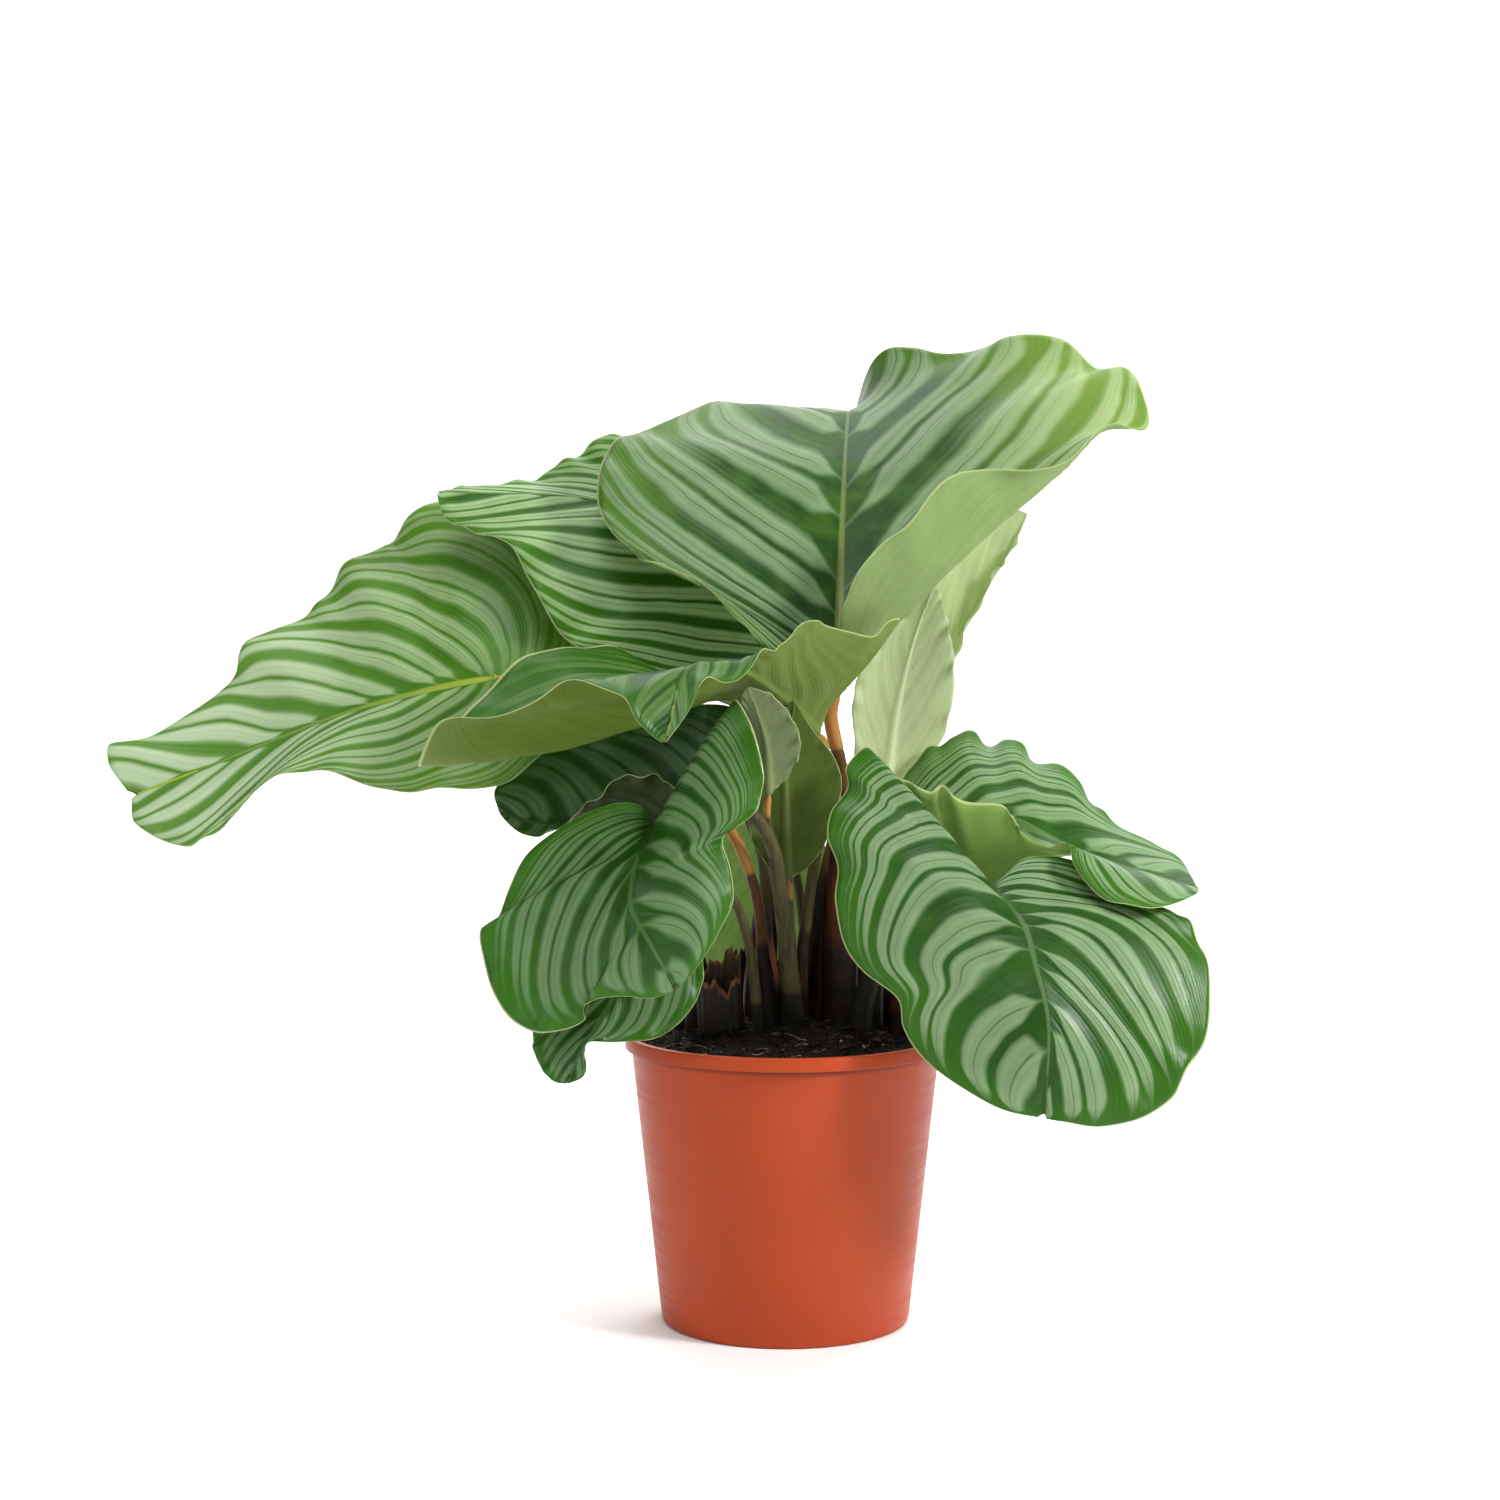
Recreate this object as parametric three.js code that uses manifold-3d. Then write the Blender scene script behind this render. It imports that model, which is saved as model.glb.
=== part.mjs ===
// Potted calathea: fourteen broad striped leaves on slender stalks, in a round plastic nursery pot.
// Millimetres, +Z up. The origin is the centre of the pot's resting face, and the plant faces -Y.
import * as THREE from "three";
import { mergeVertices } from "three/addons/utils/BufferGeometryUtils.js";
import Module from "manifold-3d";

const wasm = await Module();
wasm.setup();

// ---- driving dimensions -------------------------------------------------------------------

const POT_HEIGHT = 152.5;
const POT_BASE_RADIUS = 65.5;
const POT_SHOULDER_RADIUS = 81.6; // outside of the wall where it meets the lip
const POT_LIP_RADIUS = 85;
const POT_LIP_DEPTH = 7;
const POT_WALL = 1.6;
const POT_FLOOR = 2;
const POT_EDGE = 0.8; // small rounding on the base and on the lip
const POT_SEGMENTS = 60;
const DRAIN_RADIUS = 5;
const DRAIN_RING_RADIUS = 48;
const DRAIN_COUNT = 8;
const DRAIN_SIDES = 12;

const SOIL_EDGE_HEIGHT = 146;
const SOIL_CROWN_HEIGHT = 159;
const SOIL_SEGMENTS = 48;
const SOIL_RINGS = 6;
const FOOT_HEIGHT = 143; // how deep each stalk stands in the soil
const SEAT_GAP = 0.3; // between pieces that rest in or on each other

const BLADE_THICKNESS = 0.8;
const BLADE_BASE = 0.035; // the blade starts and stops these shares of its length short of a point
const BLADE_TIP = 0.025;
const BLADE_ARCH = 0.16; // how far the side veins sweep toward the tip, past the base
const BLADE_ARCH_START = 0.2;
const BLADE_SWELL = 0.08; // how far each half bellies upward between the midrib and the margin
const MUCH_SHORTER = 0.7; // diagonal of a slanted cell against the usual one
const LARGE_BLADE = { rows: 20, columns: 5 };
const MEDIUM_BLADE = { rows: 16, columns: 4 };
const SMALL_BLADE = { rows: 11, columns: 3 };

const STALK_SIDES = 8;
const STALK_STEP = 13; // length of one straight facet along a stalk
const STALK_TRIM = 0.25; // a stalk is drawn back from its blade by this much at a time

// ---- leaves -------------------------------------------------------------------------------
// Each leaf is drawn by rails in millimetres. mid runs along the midrib from the stalk to the tip.
// left and right are the margins from base to tip, as seen from the upper face with the tip away.
// A bend rail pulls a half into a fold. fan crowds the side veins toward the base, and swell
// bellies each half. stalk runs from below the blade down to the soil, and stalkRadii are its radii
// at the top, the middle and the foot.

const LEAVES = [
  {
    name: "crown",
    grid: LARGE_BLADE,
    fan: 1.6,
    mid: [
      [27, 5, 334], [28, 18, 371], [33, 80, 442], [38, 150, 489], [42, 205, 484],
    ],
    left: [
      [16, 2, 327], [-2, -2, 344], [-12, -2, 356], [-23, -2, 370], [-45, 10, 391], [-65, 17, 400],
      [-82, 25, 408], [-95, 36, 420], [-102, 50, 437], [-100, 72, 457], [-91, 92, 473],
      [-70, 112, 479], [-40, 142, 496], [-22, 158, 490], [8, 180, 487],
    ],
    right: [
      [28, -14, 369], [32, -18, 384], [38, -20, 398], [50, -19, 410], [62, -18, 420],
      [76, -13, 438], [88, -8, 447], [107, 4, 449], [130, 15, 452], [150, 28, 455], [164, 40, 467],
      [180, 55, 477], [200, 72, 478], [199, 88, 497], [193, 105, 511], [179, 118, 513],
      [168, 132, 524], [158, 140, 531], [139, 150, 539], [118, 160, 529], [95, 172, 525],
      [77, 181, 530], [62, 190, 530], [51, 198, 517],
    ],
    rightBend: [
      [46, 10, 343], [69, 20, 368], [108, 35, 395], [141, 50, 424], [157, 62, 446], [174, 80, 470],
      [163, 95, 493], [134, 115, 503], [101, 130, 501], [85, 145, 500], [63, 160, 501],
      [51, 180, 502],
    ],
    swell: [0.1, 0.08],
    stalk: [
      [24, 9, 320], [28, 11, 299], [31, 15, 278], [27, 19, 253], [21, 22, 221], [20, 22, 165],
    ],
    stalkRadii: [3.2, 4.8, 7.6],
  },
  {
    name: "upper_left",
    grid: MEDIUM_BLADE,
    fan: 1.3,
    mid: [
      [4, 30, 352], [-43, 68, 409], [-102, 85, 437], [-192, 75, 441],
    ],
    left: [
      [-22, 38, 333], [-63, 46, 336], [-98, 41, 350], [-120, 39, 362], [-135, 44, 386],
      [-151, 55, 412], [-174, 65, 420], [-187, 70, 427],
    ],
    right: [
      [-8, 75, 398], [-44, 125, 456], [-93, 132, 476], [-120, 124, 463], [-144, 110, 449],
      [-175, 88, 445],
    ],
    stalk: [
      [3, 33, 328], [4, 34, 279], [1, 31, 231], [3, 30, 164],
    ],
    stalkRadii: [2.6, 3.2, 5.4],
  },
  {
    name: "far_left",
    grid: LARGE_BLADE,
    fan: 1.4,
    mid: [
      [-155, 35, 340], [-192, 40, 333], [-241, 42, 319], [-295, 38, 298], [-351, 25, 276],
    ],
    left: [
      [-120, 15, 328], [-126, -3, 303], [-150, -8, 285], [-182, -5, 282], [-215, 0, 282],
      [-251, 8, 292], [-280, 5, 281], [-304, 0, 257], [-320, 0, 252], [-345, 10, 262],
    ],
    right: [
      [-107, 58, 354], [-112, 94, 398], [-155, 115, 435], [-199, 118, 437], [-217, 114, 421],
      [-227, 110, 411], [-247, 103, 401], [-259, 96, 382], [-270, 88, 370], [-295, 70, 361],
      [-301, 60, 341], [-312, 52, 329], [-340, 38, 309], [-366, 25, 302],
    ],
    stalk: [
      [-132, 40, 333], [-100, 43, 327], [-46, 42, 303], [-16, 34, 257], [-9, 28, 220],
      [-11, 24, 165],
    ],
    stalkRadii: [2.6, 3.2, 6.2],
  },
  {
    name: "front",
    grid: LARGE_BLADE,
    fan: 1.3,
    mid: [
      [17, -4, 311], [-1, -24, 330], [-26, -60, 347], [-49, -98, 348], [-60, -132, 312],
    ],
    left: [
      [27, -4, 333], [47, -4, 357], [59, -12, 372], [44, -30, 364], [21, -42, 368], [13, -48, 372],
      [-2, -58, 359], [-11, -66, 356], [-25, -85, 342], [-41, -104, 342], [-49, -120, 327],
    ],
    right: [
      [-11, 22, 320], [-51, 35, 336], [-89, 32, 354], [-112, 18, 357], [-139, -5, 350],
      [-161, -35, 328], [-185, -65, 297], [-174, -88, 319], [-138, -108, 326], [-108, -118, 341],
      [-81, -128, 336], [-73, -133, 323],
    ],
    swell: [-0.05, -0.09],
    stalk: [
      [20, -2, 303], [21, 2, 276], [14, 8, 233], [9, 12, 190], [9, 14, 165],
    ],
    stalkRadii: [2.8, 3.0, 4.2],
  },
  {
    name: "low_left",
    grid: MEDIUM_BLADE,
    fan: 1.5,
    mid: [
      [-67, -56, 267], [-75, -76, 251], [-78, -92, 231], [-68, -98, 212], [-55, -92, 188],
    ],
    left: [
      [-57, -42, 281], [-45, -44, 299], [-34, -48, 316], [-26, -58, 331], [-18, -60, 318],
      [-13, -61, 301], [-12, -62, 288], [-16, -64, 275], [-26, -68, 267], [-33, -71, 260],
      [-29, -76, 249], [-27, -81, 234], [-33, -88, 219], [-42, -92, 204],
    ],
    right: [
      [-75, -50, 277], [-98, -52, 275], [-128, -62, 257], [-140, -69, 237], [-146, -74, 221],
      [-154, -78, 213], [-149, -86, 192], [-140, -90, 176], [-128, -93, 168], [-114, -94, 168],
      [-102, -96, 173], [-98, -98, 183], [-83, -98, 186], [-68, -97, 185],
    ],
    stalk: [
      [-49, -47, 273], [-30, -43, 278], [-15, -42, 269], [-7, -37, 254], [-4, -32, 237],
      [1, -22, 194], [4, -14, 162],
    ],
    stalkRadii: [2.8, 3.8, 6.0],
  },
  {
    name: "shaded_left",
    grid: MEDIUM_BLADE,
    fan: 1.3,
    mid: [
      [-38, -10, 269], [-71, -8, 262], [-108, -2, 261], [-135, 2, 264], [-152, 5, 269],
    ],
    left: [
      [-36, -22, 291], [-40, -35, 306], [-46, -37, 298], [-54, -38, 287], [-62, -38, 288],
      [-70, -38, 292], [-82, -36, 291], [-92, -32, 286], [-102, -28, 276], [-110, -24, 270],
      [-121, -18, 261], [-132, -12, 258], [-143, -5, 261],
    ],
    right: [
      [-21, 8, 294], [-24, -4, 322], [-44, -6, 327], [-69, 2, 321], [-99, 14, 312],
      [-128, 18, 302], [-153, 10, 283],
    ],
    swell: [-0.06, -0.04],
    stalk: [
      [-29, -16, 261], [-21, -19, 245], [-15, -15, 225], [-12, -9, 198], [-10, -8, 165],
    ],
    stalkRadii: [2.4, 3.0, 7.2],
  },
  {
    name: "rim_left",
    grid: SMALL_BLADE,
    fan: 1.4,
    mid: [
      [-61, -35, 224], [-78, -52, 198], [-92, -64, 174], [-104, -72, 155], [-111, -74, 138],
    ],
    left: [
      [-50, -38, 225], [-43, -48, 198], [-46, -56, 178], [-63, -62, 161], [-85, -66, 158],
      [-101, -71, 158], [-102, -74, 143],
    ],
    right: [
      [-75, -40, 217], [-101, -50, 193], [-123, -60, 174], [-129, -66, 161], [-126, -71, 149],
      [-119, -73, 140],
    ],
    stalk: [
      [-45, -35, 231], [-28, -31, 227], [-19, -26, 200], [-15, -24, 166],
    ],
    stalkRadii: [2.2, 2.6, 3.2],
  },
  {
    name: "low_right",
    grid: LARGE_BLADE,
    fan: 1.6,
    mid: [
      [103, -62, 236], [117, -82, 220], [123, -95, 200], [128, -108, 171], [126, -108, 127],
    ],
    left: [
      [110, -58, 242], [127, -50, 251], [152, -47, 247], [175, -48, 233], [196, -55, 223],
      [206, -62, 215], [212, -76, 196], [207, -95, 164], [196, -101, 149], [190, -104, 137],
      [176, -107, 128], [154, -109, 123], [134, -110, 126],
    ],
    right: [
      [92, -55, 239], [79, -48, 243], [66, -41, 258], [55, -35, 277], [48, -33, 296],
      [41, -34, 306], [31, -35, 296], [31, -38, 286], [23, -41, 273], [21, -45, 261],
      [25, -51, 247], [25, -58, 229], [28, -68, 210], [37, -75, 196], [55, -86, 183],
      [57, -92, 170], [66, -98, 156], [82, -104, 144], [104, -109, 132],
    ],
    stalk: [
      [97, -48, 228], [82, -38, 226], [66, -28, 219], [52, -16, 201], [40, -6, 167],
    ],
    stalkRadii: [3.0, 4.0, 7.0],
  },
  {
    name: "right",
    grid: MEDIUM_BLADE,
    fan: 1.4,
    mid: [
      [72, -5, 260], [113, 0, 268], [152, -5, 251], [185, -16, 240], [216, -35, 232],
    ],
    left: [
      [61, 20, 275], [65, 35, 287], [77, 46, 299], [87, 52, 304], [100, 58, 309], [114, 60, 303],
      [127, 60, 304], [139, 58, 294], [157, 52, 287], [167, 44, 273], [177, 36, 262],
      [199, 20, 251], [210, 0, 243],
    ],
    right: [
      [62, -18, 277], [57, -26, 288], [65, -30, 287], [74, -33, 283], [81, -34, 286],
      [92, -36, 278], [111, -38, 276], [119, -40, 264], [132, -46, 256], [143, -54, 258],
      [146, -62, 246], [157, -70, 233], [172, -74, 228], [192, -70, 228],
    ],
    rightBend: [
      [68, -12, 251], [73, -20, 217], [91, -22, 190], [114, -24, 185], [139, -48, 226],
      [150, -64, 249], [162, -70, 250], [178, -64, 246], [199, -52, 238],
    ],
    stalk: [
      [64, -3, 256], [58, 2, 242], [51, 8, 212], [47, 12, 164],
    ],
    stalkRadii: [2.8, 3.4, 6.0],
  },
  {
    name: "back_pale",
    grid: SMALL_BLADE,
    fan: 1.3,
    mid: [
      [55, 50, 273], [61, 58, 316], [70, 66, 354], [83, 72, 391],
    ],
    left: [
      [71, 50, 283], [88, 52, 311], [93, 56, 341], [91, 62, 365], [87, 68, 382],
    ],
    right: [
      [42, 50, 283], [38, 55, 308], [39, 62, 335], [53, 70, 360], [70, 73, 376],
    ],
    stalk: [
      [52, 48, 251], [45, 42, 213], [37, 36, 164],
    ],
    stalkRadii: [2.6, 3.0, 6.0],
  },
  {
    name: "back_tall",
    grid: SMALL_BLADE,
    fan: 1.3,
    mid: [
      [68, 85, 301], [91, 98, 348], [114, 110, 387], [139, 120, 431],
    ],
    left: [
      [82, 85, 315], [96, 90, 351], [118, 102, 395], [131, 112, 413],
    ],
    right: [
      [60, 95, 326], [69, 110, 370], [98, 120, 411], [125, 124, 433],
    ],
    stalk: [
      [64, 83, 276], [56, 72, 226], [45, 48, 163],
    ],
    stalkRadii: [2.6, 3.0, 5.6],
  },
  {
    name: "inner_small",
    grid: SMALL_BLADE,
    fan: 1.3,
    mid: [
      [-9, -37, 282], [-11, -46, 310], [-20, -62, 338],
    ],
    left: [
      [0, -36, 290], [7, -42, 305], [4, -48, 319], [-7, -58, 333],
    ],
    right: [
      [-18, -38, 292], [-21, -46, 313], [-23, -58, 331],
    ],
    stalk: [
      [-10, -33, 271], [-6, -26, 252], [-2, -24, 231], [-2, -17, 204], [-1, -1, 165],
    ],
    stalkRadii: [1.8, 2.0, 3.0],
  },
  {
    name: "inner_dark",
    grid: SMALL_BLADE,
    fan: 1.3,
    mid: [
      [1, -17, 235], [0, -20, 267], [0, -22, 299], [4, -24, 330],
    ],
    left: [
      [14, -16, 245], [22, -16, 258], [29, -16, 283], [25, -17, 300], [14, -20, 314],
    ],
    right: [
      [-9, -18, 242], [-19, -20, 262], [-20, -22, 293], [-6, -24, 322],
    ],
    stalk: [
      [3, -6, 203], [6, 6, 166],
    ],
    stalkRadii: [2.2, 2.4, 3.2],
  },
  {
    name: "back_low",
    grid: SMALL_BLADE,
    fan: 1.3,
    mid: [
      [-5, 70, 271], [-6, 85, 236], [-7, 98, 195], [-7, 108, 154],
    ],
    left: [
      [-24, 74, 264], [-44, 88, 236], [-53, 100, 195], [-33, 107, 163],
    ],
    right: [
      [9, 72, 265], [27, 85, 236], [29, 98, 195], [15, 106, 163],
    ],
    stalk: [
      [-1, 67, 263], [9, 56, 217], [13, 42, 164],
    ],
    stalkRadii: [2.4, 2.6, 4.0],
  },
];

// The old leaf base that was cut off: its hand-chosen outline round the sheath, and its height.
const STUB_CENTRE = [-33, -12];
const STUB_RADII = [12, 6.5];
const STUB_SIDES = 12;
const STUB_HEIGHTS = [178, 186, 192, 184, 181, 187, 196, 199, 188, 176, 171, 173];
const STUB_LEAN = 3; // how far the top leans toward -X

// ---- solids -------------------------------------------------------------------------------

function vectors(points) {
  return points.map((point) => new THREE.Vector3(...point));
}

function spline(points) {
  return new THREE.CatmullRomCurve3(vectors(points), false, "catmullrom", 0.5);
}

function toSolid(geometry) {
  const bare = new THREE.BufferGeometry();
  bare.setAttribute("position", geometry.getAttribute("position"));
  bare.setIndex(geometry.getIndex());
  const merged = mergeVertices(bare, 1e-3);
  return new wasm.Manifold(new wasm.Mesh({
    numProp: 3,
    vertProperties: new Float32Array(merged.getAttribute("position").array),
    triVerts: new Uint32Array(merged.getIndex().array),
  }));
}

function toGeometry(solid) {
  const mesh = solid.getMesh();
  const geometry = new THREE.BufferGeometry();
  geometry.setAttribute("position", new THREE.BufferAttribute(mesh.vertProperties, mesh.numProp));
  geometry.setIndex(new THREE.BufferAttribute(mesh.triVerts, 1));
  geometry.computeVertexNormals();
  return geometry;
}

function indexedGeometry(points, triangles) {
  const geometry = new THREE.BufferGeometry();
  geometry.setFromPoints(points);
  geometry.setIndex(triangles);
  return geometry;
}

// ---- blades -------------------------------------------------------------------------------

// The direction in which the midrib runs at t.
function alongMidrib(midrib, t) {
  const step = 0.01;
  const before = midrib.getPoint(Math.max(t - step, 0));
  const after = midrib.getPoint(Math.min(t + step, 1));
  return after.sub(before).normalize();
}

// One half of a blade: a function of s, from base to tip, that gives the curve of the side vein
// from the midrib to the margin.
function halfBlade(leaf, side) {
  const base = leaf.mid[0];
  const tip = leaf.mid[leaf.mid.length - 1];
  const midrib = spline(leaf.mid);
  const margin = spline([base, ...leaf[side], tip]);
  const bendRail = leaf[`${side}Bend`];
  const bend = bendRail && spline([base, ...bendRail, tip]);
  const [swell, turn] = side === "left" ? [leaf.swell?.[0], -1] : [leaf.swell?.[1], 1];
  return (s) => {
    const t = s ** leaf.fan;
    const start = midrib.getPoint(t);
    const along = alongMidrib(midrib, t);
    const end = margin.getPoint(s);
    const chord = end.clone().sub(start);
    const width = chord.length();
    const upward = chord.clone().cross(along).multiplyScalar(turn / width);
    const rise = Math.sqrt(Math.sin(Math.PI * s));
    const arch = BLADE_ARCH * THREE.MathUtils.smoothstep(s, 0, BLADE_ARCH_START);
    const middle = bend ? bend.getPoint(s) : start.clone()
      .addScaledVector(chord, 0.5)
      .addScaledVector(along, -arch * width)
      .addScaledVector(upward, (swell ?? BLADE_SWELL) * width * rise);
    return new THREE.QuadraticBezierCurve3(start, middle, end);
  };
}

// Rows of points over a blade, each row from the left margin over the midrib to the right margin.
function bladeGrid(leaf) {
  const { rows, columns } = leaf.grid;
  const left = halfBlade(leaf, "left");
  const right = halfBlade(leaf, "right");
  const grid = [];
  for (let row = 0; row <= rows; row += 1) {
    const s = THREE.MathUtils.lerp(BLADE_BASE, 1 - BLADE_TIP, row / rows);
    const [leftVein, rightVein] = [left(s), right(s)];
    const points = [];
    for (let column = -columns; column <= columns; column += 1) {
      const vein = column < 0 ? leftVein : rightVein;
      points.push(vein.getPoint(Math.abs(column) / columns));
    }
    grid.push(points);
  }
  return grid;
}

// Triangles of a grid's upper face: a cell is split the other way where that is much shorter.
function gridTriangles(grid) {
  const width = grid[0].length;
  const points = grid.flat();
  const triangles = [];
  for (let row = 0; row < grid.length - 1; row += 1) {
    for (let column = 0; column < width - 1; column += 1) {
      const a = row * width + column;
      const [b, c, d] = [a + 1, a + width, a + width + 1];
      const other = points[a].distanceTo(points[d]);
      if (other < MUCH_SHORTER * points[b].distanceTo(points[c])) {
        triangles.push(a, b, d, a, d, c);
      } else {
        triangles.push(a, b, c, b, d, c);
      }
    }
  }
  return triangles;
}

// The grid's outline as a loop of vertex numbers, anticlockwise seen from the upper face.
function gridOutline(rows, width) {
  const loop = [];
  for (let column = 0; column < width - 1; column += 1) loop.push(column);
  for (let row = 0; row < rows; row += 1) loop.push(row * width + width - 1);
  for (let column = width - 1; column > 0; column -= 1) loop.push(rows * width + column);
  for (let row = rows; row > 0; row -= 1) loop.push(row * width);
  return loop;
}

// A sheet of even thickness over a grid, split alike on both faces and closed by a strip round
// its outline.
function sheetGeometry(grid, thickness) {
  const face = gridTriangles(grid);
  const middle = indexedGeometry(grid.flat(), face);
  middle.computeVertexNormals();
  const normals = middle.getAttribute("normal");
  const layer = (offset) => grid.flat().map((point, vertex) => {
    const normal = new THREE.Vector3().fromBufferAttribute(normals, vertex);
    return point.clone().addScaledVector(normal, offset);
  });
  const upper = layer(thickness / 2);
  const lower = layer(-thickness / 2);
  const count = upper.length;
  const triangles = [...face];
  for (let i = 0; i < face.length; i += 3) {
    triangles.push(count + face[i], count + face[i + 2], count + face[i + 1]);
  }
  const outline = gridOutline(grid.length - 1, grid[0].length);
  outline.forEach((a, i) => {
    const b = outline[(i + 1) % outline.length];
    triangles.push(a, count + a, b, b, count + a, count + b);
  });
  return indexedGeometry([...upper, ...lower], triangles);
}

function bladeGeometry(leaf) {
  return sheetGeometry(bladeGrid(leaf), BLADE_THICKNESS);
}

// ---- stalks -------------------------------------------------------------------------------

// A tube along a curve from a share of its length to its end, closed by a point at each end.
function tubeGeometry(curve, start, steps, radius) {
  const points = [];
  for (let step = 0; step <= steps; step += 1) {
    const share = THREE.MathUtils.lerp(start, 1, step / steps);
    const centre = curve.getPointAt(share);
    const along = curve.getTangentAt(share);
    const across = new THREE.Vector3(0, 1, 0).cross(along).normalize();
    const over = along.clone().cross(across);
    for (let side = 0; side < STALK_SIDES; side += 1) {
      const angle = 2 * Math.PI * side / STALK_SIDES;
      points.push(centre.clone()
        .addScaledVector(across, radius(share) * Math.cos(angle))
        .addScaledVector(over, radius(share) * Math.sin(angle)));
    }
  }
  const first = points.push(curve.getPointAt(start)) - 1;
  const last = points.push(curve.getPointAt(1)) - 1;
  const triangles = [];
  for (let side = 0; side < STALK_SIDES; side += 1) {
    const next = (side + 1) % STALK_SIDES;
    const end = steps * STALK_SIDES;
    triangles.push(first, next, side, last, end + side, end + next);
    for (let ring = 0; ring < end; ring += STALK_SIDES) {
      const [a, b] = [ring + side, ring + next];
      triangles.push(a, b, a + STALK_SIDES, b, b + STALK_SIDES, a + STALK_SIDES);
    }
  }
  return indexedGeometry(points, triangles);
}

// A stalk runs from the start of its blade down to its foot, which stands upright in the soil.
// growth widens it, and trim shortens it at the top.
function stalkGeometry(leaf, growth, trim) {
  const [top, middle, foot] = leaf.stalkRadii;
  const [x, y] = leaf.stalk[leaf.stalk.length - 1];
  const seat = spline(leaf.mid).getPoint(BLADE_BASE ** leaf.fan).toArray();
  const curve = spline([seat, ...leaf.stalk, [x, y, FOOT_HEIGHT - growth]]);
  const length = curve.getLength();
  const radius = (share) => growth + (share < 0.5
    ? THREE.MathUtils.lerp(top, middle, 2 * share)
    : THREE.MathUtils.lerp(middle, foot, THREE.MathUtils.smoothstep(share, 0.5, 1)));
  return tubeGeometry(curve, trim / length, Math.ceil(length / STALK_STEP), radius);
}

// The longest stalk that stays clear of the blade that it carries.
function fittedStalk(leaf) {
  const grown = toSolid(sheetGeometry(bladeGrid(leaf), BLADE_THICKNESS + 2 * SEAT_GAP));
  let trim = 0;
  while (!toSolid(stalkGeometry(leaf, 0, trim)).intersect(grown).isEmpty()) trim += STALK_TRIM;
  return stalkGeometry(leaf, 0, trim + SEAT_GAP);
}

// ---- pot, soil and stub -------------------------------------------------------------------

function potWallRadius(height) {
  const share = height / (POT_HEIGHT - POT_LIP_DEPTH);
  return THREE.MathUtils.lerp(POT_BASE_RADIUS, POT_SHOULDER_RADIUS, share);
}

function lathe(profile, segments) {
  const points = profile.map(([radius, height]) => new THREE.Vector2(radius, height));
  const geometry = new THREE.LatheGeometry(points, segments);
  geometry.rotateX(Math.PI / 2);
  return geometry;
}

// One moulded shell: floor, tapered wall and a lip turned down outside it.
function potGeometry() {
  const underLip = POT_HEIGHT - 2 * POT_WALL;
  const skirtFoot = POT_HEIGHT - POT_LIP_DEPTH;
  const skirtInner = POT_LIP_RADIUS - POT_WALL;
  const shell = toSolid(lathe([
    [0, 0],
    [POT_BASE_RADIUS - POT_EDGE, 0],
    [POT_BASE_RADIUS, POT_EDGE],
    [potWallRadius(underLip), underLip],
    [skirtInner, underLip],
    [skirtInner, skirtFoot],
    [POT_LIP_RADIUS, skirtFoot],
    [POT_LIP_RADIUS, POT_HEIGHT - POT_EDGE],
    [POT_LIP_RADIUS - POT_EDGE, POT_HEIGHT],
    [potWallRadius(POT_HEIGHT) - POT_WALL, POT_HEIGHT],
    [potWallRadius(POT_FLOOR) - POT_WALL, POT_FLOOR],
    [0, POT_FLOOR],
  ], POT_SEGMENTS));
  const drain = new THREE.CylinderGeometry(DRAIN_RADIUS, DRAIN_RADIUS, 3 * POT_FLOOR, DRAIN_SIDES);
  drain.rotateX(Math.PI / 2);
  drain.translate(DRAIN_RING_RADIUS, 0, POT_FLOOR / 2);
  let pot = shell;
  for (let i = 0; i < DRAIN_COUNT; i += 1) {
    pot = pot.subtract(toSolid(drain));
    drain.rotateZ(2 * Math.PI / DRAIN_COUNT);
  }
  return toGeometry(pot);
}

// The soil fills the pot to a low mound, with a plain hole for each stalk's foot and the stub.
function soilGeometry() {
  const bottom = POT_FLOOR + SEAT_GAP;
  const edge = potWallRadius(SOIL_EDGE_HEIGHT) - POT_WALL - SEAT_GAP;
  const profile = [
    [0, bottom],
    [potWallRadius(bottom) - POT_WALL - SEAT_GAP, bottom],
  ];
  for (let ring = 0; ring <= SOIL_RINGS; ring += 1) {
    const share = ring / SOIL_RINGS;
    const rise = (SOIL_CROWN_HEIGHT - SOIL_EDGE_HEIGHT) * Math.sin(share * Math.PI / 2);
    profile.push([edge * (1 - share), SOIL_EDGE_HEIGHT + rise]);
  }
  let soil = toSolid(lathe(profile, SOIL_SEGMENTS));
  LEAVES.forEach((leaf) => {
    soil = soil.subtract(toSolid(stalkGeometry(leaf, SEAT_GAP, 0)));
  });
  return toGeometry(soil.subtract(toSolid(stubGeometry(SEAT_GAP))));
}

// A ring of the stub's sides at one level, or with a level for each side.
function stubRing(growth, lean, heightOf) {
  const ring = [];
  for (let side = 0; side < STUB_SIDES; side += 1) {
    const angle = 2 * Math.PI * side / STUB_SIDES;
    ring.push(new THREE.Vector3(
      STUB_CENTRE[0] - lean + (STUB_RADII[0] + growth) * Math.cos(angle),
      STUB_CENTRE[1] + (STUB_RADII[1] + growth) * Math.sin(angle),
      heightOf(side),
    ));
  }
  return ring;
}

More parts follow.
